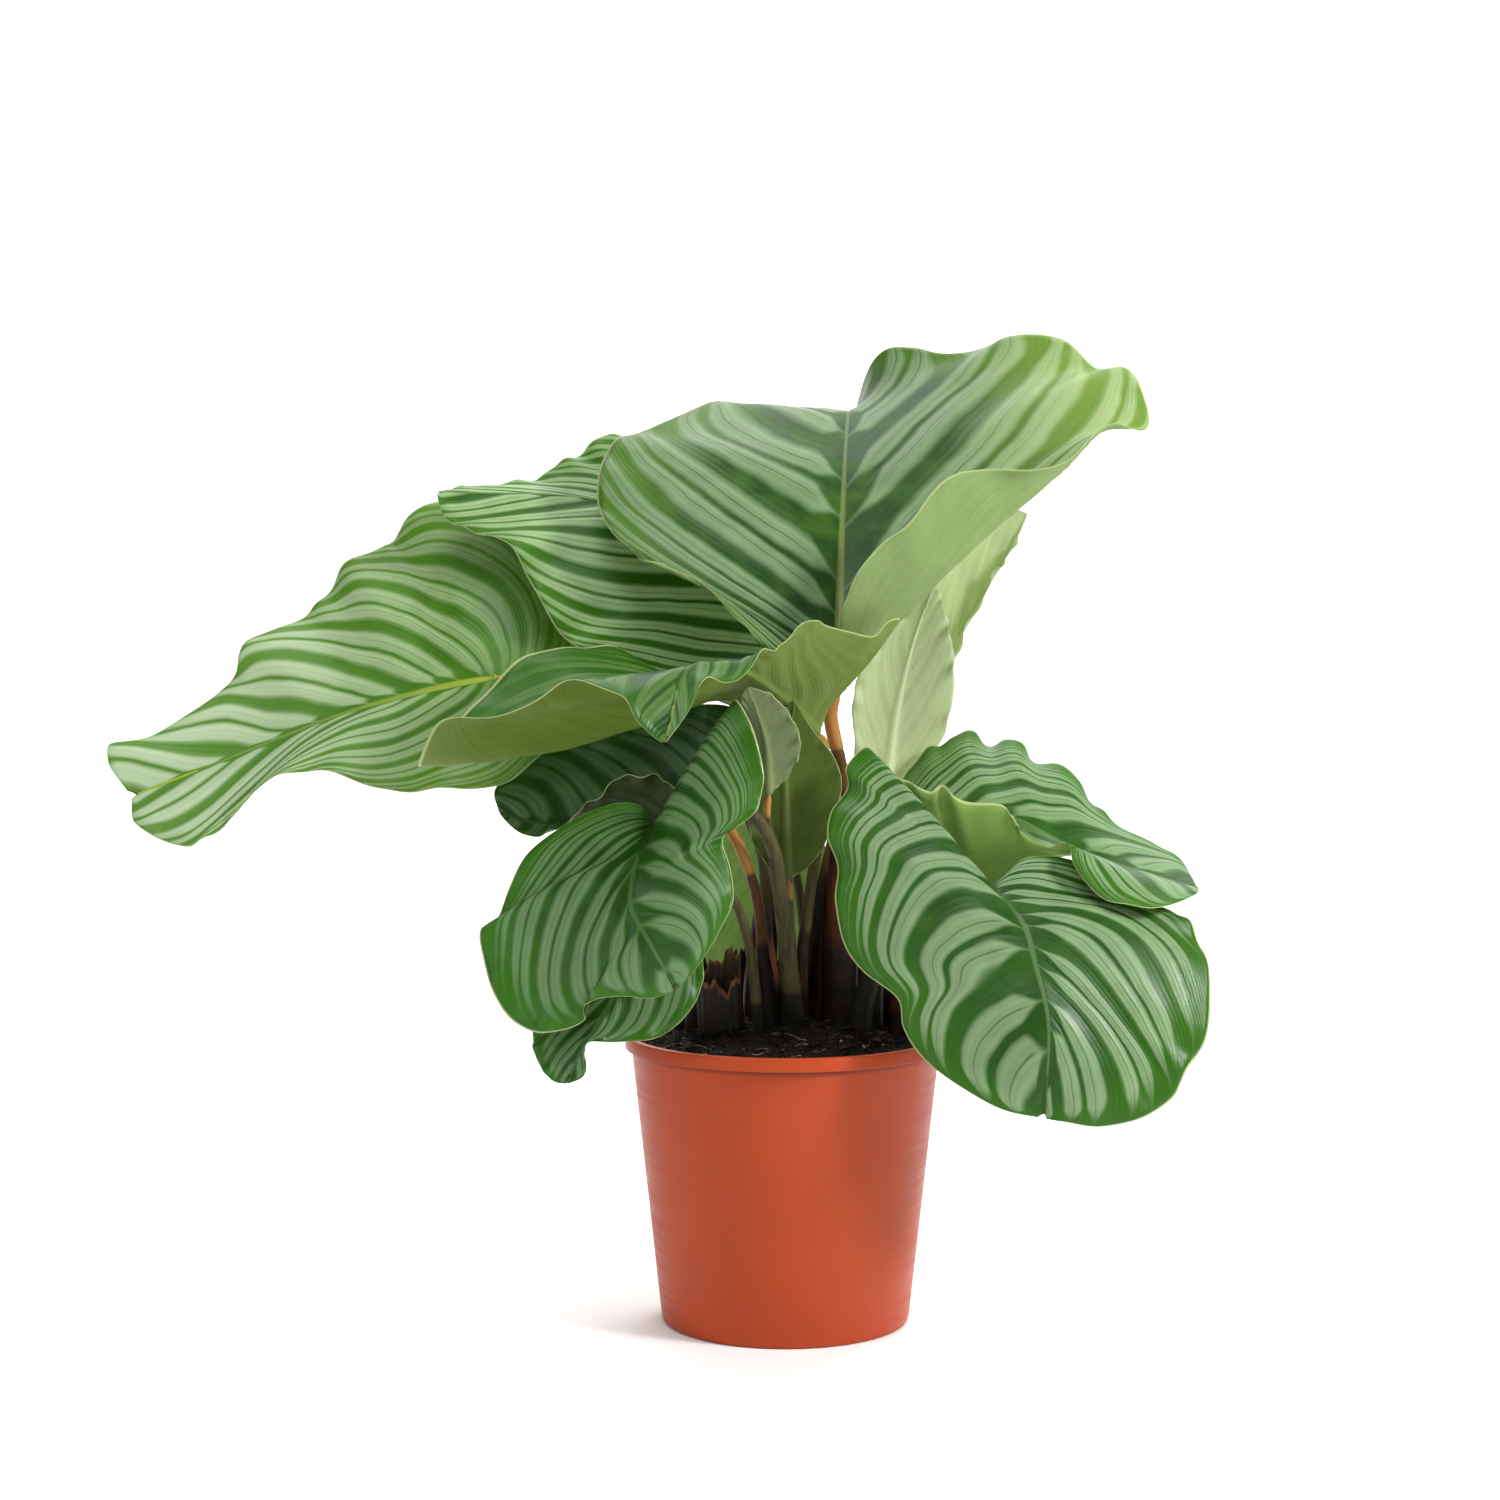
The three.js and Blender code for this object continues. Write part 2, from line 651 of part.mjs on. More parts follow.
function stubGeometry(growth = 0) {
  const bottom = FOOT_HEIGHT - growth;
  const low = stubRing(growth, 0, () => bottom);
  const high = stubRing(growth, STUB_LEAN, (side) => STUB_HEIGHTS[side] + growth);
  const points = [...low, ...high];
  const under = points.push(new THREE.Vector3(...STUB_CENTRE, bottom)) - 1;
  const over = points.push(new THREE.Vector3(
    STUB_CENTRE[0] - STUB_LEAN, STUB_CENTRE[1], Math.min(...STUB_HEIGHTS) + growth)) - 1;
  const triangles = [];
  for (let side = 0; side < STUB_SIDES; side += 1) {
    const next = (side + 1) % STUB_SIDES;
    const [a, b] = [STUB_SIDES + side, STUB_SIDES + next];
    triangles.push(under, next, side, over, a, b, side, next, a, next, b, a);
  }
  return indexedGeometry(points, triangles);
}

// ---- materials and assembly ---------------------------------------------------------------

function finish(color, roughness) {
  return new THREE.MeshStandardMaterial({ color, roughness, metalness: 0 });
}

const bladeFinish = () => finish(0x5d9150, 0.45);
const stalkFinish = () => finish(0x6a5a34, 0.5);
const stubFinish = () => finish(0x4a3220, 0.8);
const soilFinish = () => finish(0x1c1512, 1);
const potFinish = () => finish(0xb9502f, 0.5);

const plant = new THREE.Group();

function add(name, geometry, material) {
  const mesh = new THREE.Mesh(geometry, material);
  mesh.name = name;
  plant.add(mesh);
}

add("pot", potGeometry(), potFinish());
add("soil", soilGeometry(), soilFinish());
add("cut_stub", stubGeometry(), stubFinish());
LEAVES.forEach((leaf) => {
  add(`blade_${leaf.name}`, bladeGeometry(leaf), bladeFinish());
  add(`stalk_${leaf.name}`, fittedStalk(leaf), stalkFinish());
});

export default plant;
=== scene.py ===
"""Potted calathea: striped leaves on slender stalks, growing from soil in a terracotta-coloured pot."""
import math
import random
from types import SimpleNamespace

import bpy
import numpy as np
from bpy.props import FloatProperty, FloatVectorProperty, IntProperty, PointerProperty
from bpy.types import Operator, Panel, PropertyGroup
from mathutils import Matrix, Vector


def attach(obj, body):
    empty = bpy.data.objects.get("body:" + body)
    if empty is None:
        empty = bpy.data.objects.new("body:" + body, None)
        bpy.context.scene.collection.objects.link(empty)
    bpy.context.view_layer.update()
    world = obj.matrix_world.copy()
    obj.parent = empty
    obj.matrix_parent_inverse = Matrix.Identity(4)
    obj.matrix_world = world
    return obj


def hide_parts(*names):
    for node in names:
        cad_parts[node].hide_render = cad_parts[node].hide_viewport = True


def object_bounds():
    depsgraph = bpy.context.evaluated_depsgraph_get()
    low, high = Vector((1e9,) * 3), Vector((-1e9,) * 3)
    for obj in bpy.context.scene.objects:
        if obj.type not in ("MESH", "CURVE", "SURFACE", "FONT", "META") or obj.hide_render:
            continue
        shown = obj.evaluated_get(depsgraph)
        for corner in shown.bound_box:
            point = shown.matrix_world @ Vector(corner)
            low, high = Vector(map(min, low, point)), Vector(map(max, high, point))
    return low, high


bl_info = {
    "name": "Potted calathea",
    "version": (1, 0, 0),
    "blender": (4, 5, 0),
    "location": "3D View > Sidebar > Calathea",
    "description": "Dresses a potted calathea with striped leaves, stalks, soil and a nursery pot",
    "category": "Object",
}

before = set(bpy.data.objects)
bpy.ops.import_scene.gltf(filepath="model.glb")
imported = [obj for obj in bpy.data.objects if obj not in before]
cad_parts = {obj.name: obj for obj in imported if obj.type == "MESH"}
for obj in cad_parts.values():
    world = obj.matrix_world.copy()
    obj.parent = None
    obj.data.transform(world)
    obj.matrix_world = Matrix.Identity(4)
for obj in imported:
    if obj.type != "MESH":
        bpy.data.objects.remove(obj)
CAD_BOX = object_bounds()

# Lengths are in mm and heights are above the floor, unless a comment says otherwise.
MM = 0.001
POT_HEIGHT = 152.5
POT_BASE_RADIUS = 65.5
POT_SHOULDER_RADIUS = 81.6
POT_LIP_RADIUS = 85.0
POT_LIP_EDGE = 145.5
POT_WALL = 1.6
POT_FLOOR = 2.0
DRAIN_RADIUS = 5.0
DRAIN_RING_RADIUS = 48.0
DRAIN_COUNT = 8
DRAIN_SIDES = 32
DRAIN_TURN = 0.013  # radians, so that no hole starts on an edge of the pot
SOIL_LEVEL = 150.0  # near the stalks
SOIL_EDGE_HEIGHT = 146.0
SOIL_CROWN_HEIGHT = 159.0
SOIL_LUMPS = 1.6
SOIL_SEED = 5
SOIL_RINGS = 90
SOIL_SEGMENTS = 200
SOIL_INSET = 1.9  # inside the pot's outer wall
LITTER_INSET = 3.5
LITTER_SEED = 11
STALK_STEP = 1.2
STALK_SEAT = 0.03  # share of the blade at which its stalk begins
RING_WIDTH = 1.4
SEAM = (0.9, 0.05)  # where a sheath's seam lies round the stalk, and its width
FOOT_HEIGHT = 143.0
STUB_CENTRE = (-33.0, -12.0)
STUB_RADII = (12.0, 6.5)
STUB_RIM = 188.0
STUB_HOLLOW = 170.0
STUB_WALL_SHARE = 0.62  # of the sheet, before it turns inward
HUSK_THICKNESS = 0.7
HUSK_WRAP = 0.86  # of a full turn

# Leaves. Shares run from the stalk to the tip, or from the midrib to the margin.
LARGE_LEAF_ROWS = 150
LARGE_LEAF_COLUMNS = 88
SMALL_LEAF_COLUMNS = 56
MIDRIB_CROWDING = 1.5
BLADE_FIRST = 0.02
BLADE_REACH = 0.972
BLADE_ARCH = 0.16
BLADE_ARCH_START = 0.2
BLADE_SWELL = 0.08
RIB_WIDTH = 2.4
RIB_TIP_WIDTH = 0.45
RIPPLES = ((7.3, 1.0), (13.1, 0.6))  # waves along a margin, and how high they are
VEIN_HOOK = 0.05
VEIN_CROWD = 0.085  # pairs of bands for each mm
THICKNESS_STEPS = 48
BOX_EASE = 0.004  # m
BOX_SKIN = 0.0009  # m
NOWHERE = (900, 901)  # a stretch of x that no leaf reaches
# How much paler the underside is painted where it stands in for more light falling on it, in red, green and
# blue.
PAINTED_LIGHT_GAIN = (1.45, 1.3, 2.2)


class Leaf(SimpleNamespace):
    """A leaf, drawn by rails that are the same as the solid's, with what most leaves share.

    mid runs along the midrib from the stalk to the tip. left and right are the margins from base to tip,
    as seen from the upper face with the tip away. A bend rail pulls a half into a fold. stalk runs from
    below the blade to the soil. pairs and phase say how many pairs of bands each half has, and where they
    begin. blush is a stretch of x in which the upper face is painted with a glow, standing in for
    light shining through the leaf. wan holds stretches of x in which the underside is
    painted paler, standing in for more light falling on it.
    """

    arch = ((0.5, 0.8), (0.5, 0.8))
    rows = 200
    pleat = 1.0
    fan = 1.3
    swell = (BLADE_SWELL, BLADE_SWELL)
    blush = NOWHERE
    wan = (NOWHERE,)
    left_bend = right_bend = None
    sheath = 60
    stalk_tone = "olive"


LEAVES = [
    Leaf(
        name="crown", tone="crown", pairs=(5.8, 5.6), phase=(0.7, 0.92), arch=((0.42, 0.75), (0.42, 0.75)),
        rows=230, pleat=1.5, fan=1.6, swell=(0.1, 0.08), blush=(70, 200), stalk_radii=(3.2, 4.8, 7.6),
        pulvinus=34, sheath=92, stalk_tone="ruddy",
        mid=[(27, 5, 334), (28, 18, 371), (33, 80, 442), (38, 150, 489), (42, 205, 484)],
        left=[(16, 2, 327), (-2, -2, 344), (-12, -2, 356), (-23, -2, 370), (-45, 10, 391), (-65, 17, 400),
            (-82, 25, 408), (-95, 36, 420), (-102, 50, 437), (-100, 72, 457), (-91, 92, 473), (-70, 112, 479),
            (-40, 142, 496), (-22, 158, 490), (8, 180, 487)],
        right=[(28, -14, 369), (32, -18, 384), (38, -20, 398), (50, -19, 410), (62, -18, 420), (76, -13, 438),
            (88, -8, 447), (107, 4, 449), (130, 15, 452), (150, 28, 455), (164, 40, 467), (180, 55, 477),
            (200, 72, 478), (199, 88, 497), (193, 105, 511), (179, 118, 513), (168, 132, 524), (158, 140, 531),
            (139, 150, 539), (118, 160, 529), (95, 172, 525), (77, 181, 530), (62, 190, 530), (51, 198, 517)],
        right_bend=[(46, 10, 343), (69, 20, 368), (108, 35, 395), (141, 50, 424), (157, 62, 446),
            (174, 80, 470), (163, 95, 493), (134, 115, 503), (101, 130, 501), (85, 145, 500), (63, 160, 501),
            (51, 180, 502)],
        stalk=[(24, 9, 320), (28, 11, 299), (31, 15, 278), (27, 19, 253), (21, 22, 221), (20, 22, 165)]),
    Leaf(
        name="upper_left", tone="bright", pairs=(4.8, 4.8), phase=(0.43, 0.26), pleat=1.3,
        stalk_radii=(2.6, 3.2, 5.4), pulvinus=28,
        mid=[(4, 30, 352), (-43, 68, 409), (-102, 85, 437), (-192, 75, 441)],
        left=[(-22, 38, 333), (-63, 46, 336), (-98, 41, 350), (-120, 39, 362), (-135, 44, 386), (-151, 55, 412),
            (-174, 65, 420), (-187, 70, 427)],
        right=[(-8, 75, 398), (-44, 125, 456), (-93, 132, 476), (-120, 124, 463), (-144, 110, 449),
            (-175, 88, 445)],
        stalk=[(3, 33, 328), (4, 34, 279), (1, 31, 231), (3, 30, 164)]),
    Leaf(
        name="far_left", tone="fresh", pairs=(4.6, 4.6), phase=(0.72, 0.27), arch=((0.6, 0.5), (0.55, 0.45)),
        rows=230, pleat=1.3, fan=1.4, blush=(-150, -330), stalk_radii=(2.6, 3.2, 6.2), pulvinus=26,
        mid=[(-155, 35, 340), (-192, 40, 333), (-241, 42, 319), (-295, 38, 298), (-351, 25, 276)],
        left=[(-120, 15, 328), (-126, -3, 303), (-150, -8, 285), (-182, -5, 282), (-215, 0, 282),
            (-251, 8, 292), (-280, 5, 281), (-304, 0, 257), (-320, 0, 252), (-345, 10, 262)],
        right=[(-107, 58, 354), (-112, 94, 398), (-155, 115, 435), (-199, 118, 437), (-217, 114, 421),
            (-227, 110, 411), (-247, 103, 401), (-259, 96, 382), (-270, 88, 370), (-295, 70, 361),
            (-301, 60, 341), (-312, 52, 329), (-340, 38, 309), (-366, 25, 302)],
        stalk=[(-132, 40, 333), (-100, 43, 327), (-46, 42, 303), (-16, 34, 257), (-9, 28, 220),
            (-11, 24, 165)]),
    Leaf(
        name="front", tone="front", pairs=(4.6, 4.6), phase=(0.2, 0.5), pleat=1.3, swell=(-0.05, -0.09),
        wan=((-75, -5), (-140, -190)), stalk_radii=(2.8, 3.0, 4.2), pulvinus=26,
        mid=[(17, -4, 311), (-1, -24, 330), (-26, -60, 347), (-49, -98, 348), (-60, -132, 312)],
        left=[(27, -4, 333), (47, -4, 357), (59, -12, 372), (44, -30, 364), (21, -42, 368), (13, -48, 372),
            (-2, -58, 359), (-11, -66, 356), (-25, -85, 342), (-41, -104, 342), (-49, -120, 327)],
        right=[(-11, 22, 320), (-51, 35, 336), (-89, 32, 354), (-112, 18, 357), (-139, -5, 350),
            (-161, -35, 328), (-185, -65, 297), (-174, -88, 319), (-138, -108, 326), (-108, -118, 341),
            (-81, -128, 336), (-73, -133, 323)],
        stalk=[(20, -2, 303), (21, 2, 276), (14, 8, 233), (9, 12, 190), (9, 14, 165)]),
    Leaf(
        name="low_left", tone="glossy", pairs=(3.2, 3.0), phase=(0.2, 0.4), arch=((0.8, 0.75), (0.68, 0.5)),
        pleat=1.1, fan=1.5, stalk_radii=(2.8, 3.8, 6.0), pulvinus=34, sheath=30,
        mid=[(-67, -56, 267), (-75, -76, 251), (-78, -92, 231), (-68, -98, 212), (-55, -92, 188)],
        left=[(-57, -42, 281), (-45, -44, 299), (-34, -48, 316), (-26, -58, 331), (-18, -60, 318),
            (-13, -61, 301), (-12, -62, 288), (-16, -64, 275), (-26, -68, 267), (-33, -71, 260),
            (-29, -76, 249), (-27, -81, 234), (-33, -88, 219), (-42, -92, 204)],
        right=[(-75, -50, 277), (-98, -52, 275), (-128, -62, 257), (-140, -69, 237), (-146, -74, 221),
            (-154, -78, 213), (-149, -86, 192), (-140, -90, 176), (-128, -93, 168), (-114, -94, 168),
            (-102, -96, 173), (-98, -98, 183), (-83, -98, 186), (-68, -97, 185)],
        stalk=[(-49, -47, 273), (-30, -43, 278), (-15, -42, 269), (-7, -37, 254), (-4, -32, 237), (1, -22, 194),
            (4, -14, 162)]),
    Leaf(
        name="shaded_left", tone="shade", pairs=(4.2, 4.2), phase=(0.4, 0.1), arch=((0.55, 0.8), (0.55, 0.8)),
        swell=(-0.06, -0.04), stalk_radii=(2.4, 3.0, 7.2), pulvinus=40, sheath=56, stalk_tone="ruddy",
        mid=[(-38, -10, 269), (-71, -8, 262), (-108, -2, 261), (-135, 2, 264), (-152, 5, 269)],
        left=[(-36, -22, 291), (-40, -35, 306), (-46, -37, 298), (-54, -38, 287), (-62, -38, 288),
            (-70, -38, 292), (-82, -36, 291), (-92, -32, 286), (-102, -28, 276), (-110, -24, 270),
            (-121, -18, 261), (-132, -12, 258), (-143, -5, 261)],
        right=[(-21, 8, 294), (-24, -4, 322), (-44, -6, 327), (-69, 2, 321), (-99, 14, 312), (-128, 18, 302),
            (-153, 10, 283)],
        stalk=[(-29, -16, 261), (-21, -19, 245), (-15, -15, 225), (-12, -9, 198), (-10, -8, 165)]),
    Leaf(
        name="rim_left", tone="glossy", pairs=(4.0, 4.0), phase=(0.15, 0.6), rows=110, fan=1.4,
        stalk_radii=(2.2, 2.6, 3.2), pulvinus=14, sheath=24,
        mid=[(-61, -35, 224), (-78, -52, 198), (-92, -64, 174), (-104, -72, 155), (-111, -74, 138)],
        left=[(-50, -38, 225), (-43, -48, 198), (-46, -56, 178), (-63, -62, 161), (-85, -66, 158),
            (-101, -71, 158), (-102, -74, 143)],
        right=[(-75, -40, 217), (-101, -50, 193), (-123, -60, 174), (-129, -66, 161), (-126, -71, 149),
            (-119, -73, 140)],
        stalk=[(-45, -35, 231), (-28, -31, 227), (-19, -26, 200), (-15, -24, 166)]),
    Leaf(
        name="low_right", tone="deep", pairs=(5.0, 3.4), phase=(0.4, 0.58), arch=((0.45, 0.8), (0.72, 0.9)),
        pleat=1.3, fan=1.6, stalk_radii=(3.0, 4.0, 7.0), pulvinus=24, sheath=50,
        mid=[(103, -62, 236), (117, -82, 220), (123, -95, 200), (128, -108, 171), (126, -108, 127)],
        left=[(110, -58, 242), (127, -50, 251), (152, -47, 247), (175, -48, 233), (196, -55, 223),
            (206, -62, 215), (212, -76, 196), (207, -95, 164), (196, -101, 149), (190, -104, 137),
            (176, -107, 128), (154, -109, 123), (134, -110, 126)],
        right=[(92, -55, 239), (79, -48, 243), (66, -41, 258), (55, -35, 277), (48, -33, 296), (41, -34, 306),
            (31, -35, 296), (31, -38, 286), (23, -41, 273), (21, -45, 261), (25, -51, 247), (25, -58, 229),
            (28, -68, 210), (37, -75, 196), (55, -86, 183), (57, -92, 170), (66, -98, 156), (82, -104, 144),
            (104, -109, 132)],
        stalk=[(97, -48, 228), (82, -38, 226), (66, -28, 219), (52, -16, 201), (40, -6, 167)]),
    Leaf(
        name="right", tone="side", pairs=(2.4, 2.4), phase=(0.65, 0.2), arch=((0.84, 0.72), (0.84, 0.72)),
        fan=1.4, stalk_radii=(2.8, 3.4, 6.0), pulvinus=22, sheath=50,
        mid=[(72, -5, 260), (113, 0, 268), (152, -5, 251), (185, -16, 240), (216, -35, 232)],
        left=[(61, 20, 275), (65, 35, 287), (77, 46, 299), (87, 52, 304), (100, 58, 309), (114, 60, 303),
            (127, 60, 304), (139, 58, 294), (157, 52, 287), (167, 44, 273), (177, 36, 262), (199, 20, 251),
            (210, 0, 243)],
        right=[(62, -18, 277), (57, -26, 288), (65, -30, 287), (74, -33, 283), (81, -34, 286), (92, -36, 278),
            (111, -38, 276), (119, -40, 264), (132, -46, 256), (143, -54, 258), (146, -62, 246),
            (157, -70, 233), (172, -74, 228), (192, -70, 228)],
        right_bend=[(68, -12, 251), (73, -20, 217), (91, -22, 190), (114, -24, 185), (139, -48, 226),
            (150, -64, 249), (162, -70, 250), (178, -64, 246), (199, -52, 238)],
        stalk=[(64, -3, 256), (58, 2, 242), (51, 8, 212), (47, 12, 164)]),
    Leaf(
        name="back_pale", tone="back", pairs=(4.0, 4.0), phase=(0.0, 0.3), rows=110, pleat=0.3,
        stalk_radii=(2.6, 3.0, 6.0), pulvinus=20, stalk_tone="ruddy",
        mid=[(55, 50, 273), (61, 58, 316), (70, 66, 354), (83, 72, 391)],
        left=[(71, 50, 283), (88, 52, 311), (93, 56, 341), (91, 62, 365), (87, 68, 382)],
        right=[(42, 50, 283), (38, 55, 308), (39, 62, 335), (53, 70, 360), (70, 73, 376)],
        stalk=[(52, 48, 251), (45, 42, 213), (37, 36, 164)]),
    Leaf(
        name="back_tall", tone="back", pairs=(4.0, 4.0), phase=(0.3, 0.6), rows=110, pleat=0.3,
        stalk_radii=(2.6, 3.0, 5.6), pulvinus=20, stalk_tone="ruddy",
        mid=[(68, 85, 301), (91, 98, 348), (114, 110, 387), (139, 120, 431)],
        left=[(82, 85, 315), (96, 90, 351), (118, 102, 395), (131, 112, 413)],
        right=[(60, 95, 326), (69, 110, 370), (98, 120, 411), (125, 124, 433)],
        stalk=[(64, 83, 276), (56, 72, 226), (45, 48, 163)]),
    Leaf(
        name="inner_small", tone="young_grey", pairs=(3.6, 3.6), phase=(0.2, 0.5), rows=110, pleat=0.25,
        stalk_radii=(1.8, 2.0, 3.0), pulvinus=14, sheath=30,
        mid=[(-9, -37, 282), (-11, -46, 310), (-20, -62, 338)],
        left=[(0, -36, 290), (7, -42, 305), (4, -48, 319), (-7, -58, 333)],
        right=[(-18, -38, 292), (-21, -46, 313), (-23, -58, 331)],
        stalk=[(-10, -33, 271), (-6, -26, 252), (-2, -24, 231), (-2, -17, 204), (-1, -1, 165)]),
    Leaf(
        name="inner_dark", tone="young_olive", pairs=(3.6, 3.6), phase=(0.5, 0.8), rows=110, pleat=0.25,
        stalk_radii=(2.2, 2.4, 3.2), pulvinus=12, sheath=24,
        mid=[(1, -17, 235), (0, -20, 267), (0, -22, 299), (4, -24, 330)],
        left=[(14, -16, 245), (22, -16, 258), (29, -16, 283), (25, -17, 300), (14, -20, 314)],
        right=[(-9, -18, 242), (-19, -20, 262), (-20, -22, 293), (-6, -24, 322)],
        stalk=[(3, -6, 203), (6, 6, 166)]),
    Leaf(
        name="back_low", tone="back_green", pairs=(3.6, 3.6), phase=(0.7, 0.1), rows=110, pleat=0.3,
        stalk_radii=(2.4, 2.6, 4.0), pulvinus=16, sheath=40,
        mid=[(-5, 70, 271), (-6, 85, 236), (-7, 98, 195), (-7, 108, 154)],
        left=[(-24, 74, 264), (-44, 88, 236), (-53, 100, 195), (-33, 107, 163)],
        right=[(9, 72, 265), (27, 85, 236), (29, 98, 195), (15, 106, 163)],
        stalk=[(-1, 67, 263), (9, 56, 217), (13, 42, 164)]),
]


class StalkTone(SimpleNamespace):
    """The colours of a kind of stalk: its joint, stem and sheath."""


class Tone(SimpleNamespace):
    """How the two faces of a kind of leaf are coloured, in linear red, green and blue.

    begin, wake, soft, close and fade shape the bands. painted_glow_colours holds the ground and band colours
    of a painted glow, standing in for light shining through the leaf where blush is set.
    """

    begin = 0.12
    wake = 0.06
    soft = 1.5
    close = 0.8
    fade = 0.4
    gloss = 0.2
    through = (1.0, 1.05, 0.6)
    painted_glow_colours = None


TONES = {
    # crown and fresh carry painted_glow_colours: lighter, yellower colours painted to stand in for light
    # shining through the leaf.
    "crown": Tone(dark=(0.014, 0.062, 0.005), pale=(0.22, 0.34, 0.165), margin=(0.085, 0.21, 0.012),
        under=(0.27, 0.37, 0.135), rib=(0.3, 0.33, 0.05), clear=0.22, begin=0.14, soft=1.4, close=0.62,
        fade=0.75, painted_glow_colours=((0.22, 0.38, 0.045), (0.48, 0.62, 0.25))),
    "bright": Tone(dark=(0.022, 0.115, 0.004), pale=(0.4, 0.6, 0.27), margin=(0.06, 0.2, 0.006),
        under=(0.2, 0.33, 0.075), rib=(0.24, 0.33, 0.06), clear=0.2, begin=0.08, soft=1.4, close=0.62, fade=0.7,
        gloss=0.22),
    "fresh": Tone(dark=(0.045, 0.16, 0.004), pale=(0.3, 0.45, 0.18), margin=(0.11, 0.28, 0.008),
        under=(0.22, 0.35, 0.09), rib=(0.38, 0.47, 0.05), clear=0.2, begin=0.07, wake=0.36, soft=1.6, close=0.6,
        fade=0.75, painted_glow_colours=((0.11, 0.25, 0.035), (0.52, 0.64, 0.43))),
    # Painted shade: the front leaf's underside colour is darkened for the shade that it lies in.
    "front": Tone(dark=(0.01, 0.062, 0.003), pale=(0.095, 0.195, 0.045), margin=(0.032, 0.125, 0.004),
        under=(0.12, 0.185, 0.028), rib=(0.18, 0.26, 0.06), clear=0.12, soft=1.2, close=0.75),
    "deep": Tone(dark=(0.014, 0.066, 0.004), pale=(0.225, 0.345, 0.165), margin=(0.034, 0.135, 0.004),
        under=(0.14, 0.23, 0.07), rib=(0.06, 0.14, 0.025), clear=0.1, begin=0.22, wake=0.14, soft=1.0,
        close=0.95, fade=0.15, gloss=0.24),
    "side": Tone(dark=(0.016, 0.078, 0.004), pale=(0.215, 0.35, 0.15), margin=(0.044, 0.165, 0.005),
        under=(0.2, 0.33, 0.075), rib=(0.1, 0.19, 0.04), clear=0.15, begin=0.16, soft=1.2, gloss=0.22),
    "glossy": Tone(dark=(0.009, 0.054, 0.0015), pale=(0.135, 0.24, 0.095), margin=(0.032, 0.14, 0.002),
        under=(0.05, 0.095, 0.016), rib=(0.05, 0.115, 0.018), clear=0.08, begin=0.26, wake=0.26, soft=1.8,
        close=1.0, fade=0.1, gloss=0.3),
    # Painted shade: this leaf's colours are darkened for the shadow that it lies in under the leaves above it.
    "shade": Tone(dark=(0.008, 0.042, 0.002), pale=(0.085, 0.165, 0.062), margin=(0.022, 0.095, 0.003),
        under=(0.024, 0.046, 0.008), rib=(0.05, 0.09, 0.022), clear=0.08, begin=0.16, wake=0.16, soft=1.8,
        close=0.85, fade=0.3, gloss=0.32),
    # Painted light: the back leaves' colours are lightened to stand in for light shining through them from
    # behind.
    "back": Tone(dark=(0.33, 0.45, 0.19), pale=(0.58, 0.68, 0.43), margin=(0.42, 0.54, 0.26),
        under=(0.7, 0.77, 0.53), rib=(0.78, 0.84, 0.62), clear=0.45, soft=2.0, close=0.7, fade=0.5,
        through=(1.0, 1.0, 0.85)),
    "back_green": Tone(dark=(0.08, 0.18, 0.03), pale=(0.2, 0.32, 0.11), margin=(0.11, 0.24, 0.035),
        under=(0.32, 0.5, 0.15), rib=(0.34, 0.52, 0.17), clear=0.35),
    "young_grey": Tone(dark=(0.09, 0.15, 0.05), pale=(0.15, 0.22, 0.1), margin=(0.1, 0.18, 0.05),
        under=(0.17, 0.22, 0.095), rib=(0.2, 0.25, 0.1), clear=0.05),
    "young_olive": Tone(dark=(0.05, 0.1, 0.018), pale=(0.1, 0.16, 0.05), margin=(0.07, 0.14, 0.026),
        under=(0.078, 0.122, 0.022), rib=(0.125, 0.17, 0.045), clear=0.05),
}
# The sheath colours are near black: partly the sheaths' own dark brown, partly painted shade low among the
# stalks.
STALK_TONES = {
    "ruddy": StalkTone(joint=(0.42, 0.18, 0.04), stem=(0.14, 0.058, 0.014), sheath=(0.009, 0.0045, 0.002)),
    "olive": StalkTone(joint=(0.4, 0.19, 0.04), stem=(0.08, 0.068, 0.021), sheath=(0.008, 0.009, 0.003)),
    "dry": StalkTone(joint=(0.2, 0.06, 0.02), stem=(0.12, 0.028, 0.008), sheath=(0.009, 0.0045, 0.002)),
}

# One pair of pale bands: how pale it is across the pair, and where its thin dark vein lines run.
BAND_STOPS = [(0.0, 0.42), (0.15, 1.0), (0.31, 0.45), (0.355, 0.12), (0.40, 0.45), (0.55, 1.0), (0.70, 0.42),
              (0.85, 0.0), (1.0, 0.42)]
VEIN_STOPS = [(0.0, 0.0), (0.160, 0.0), (0.178, 1.0), (0.196, 0.0), (0.515, 0.0), (0.533, 1.0), (0.551, 0.0),
              (1.0, 0.0)]

# Dry leaf bases between the stalks: centre x and y, height, radius, lean of the top in x.
DRY_SHEATHS = [
    (29, 13, 128, 9.0, 1), (-21, 36, 46, 8.5, -4), (-3, 48, 38, 8.0, 2), (60, 30, 52, 9.0, 6),
    (62, 6, 44, 7.0, 4), (34, 52, 60, 9.0, 3), (-33, 14, 34, 7.0, -3), (-45, 10, 56, 8.0, -3),
    (-50, 28, 44, 9.0, -6), (12, 44, 70, 8.0, 2), (-13, 14, 74, 9.5, 1),
]

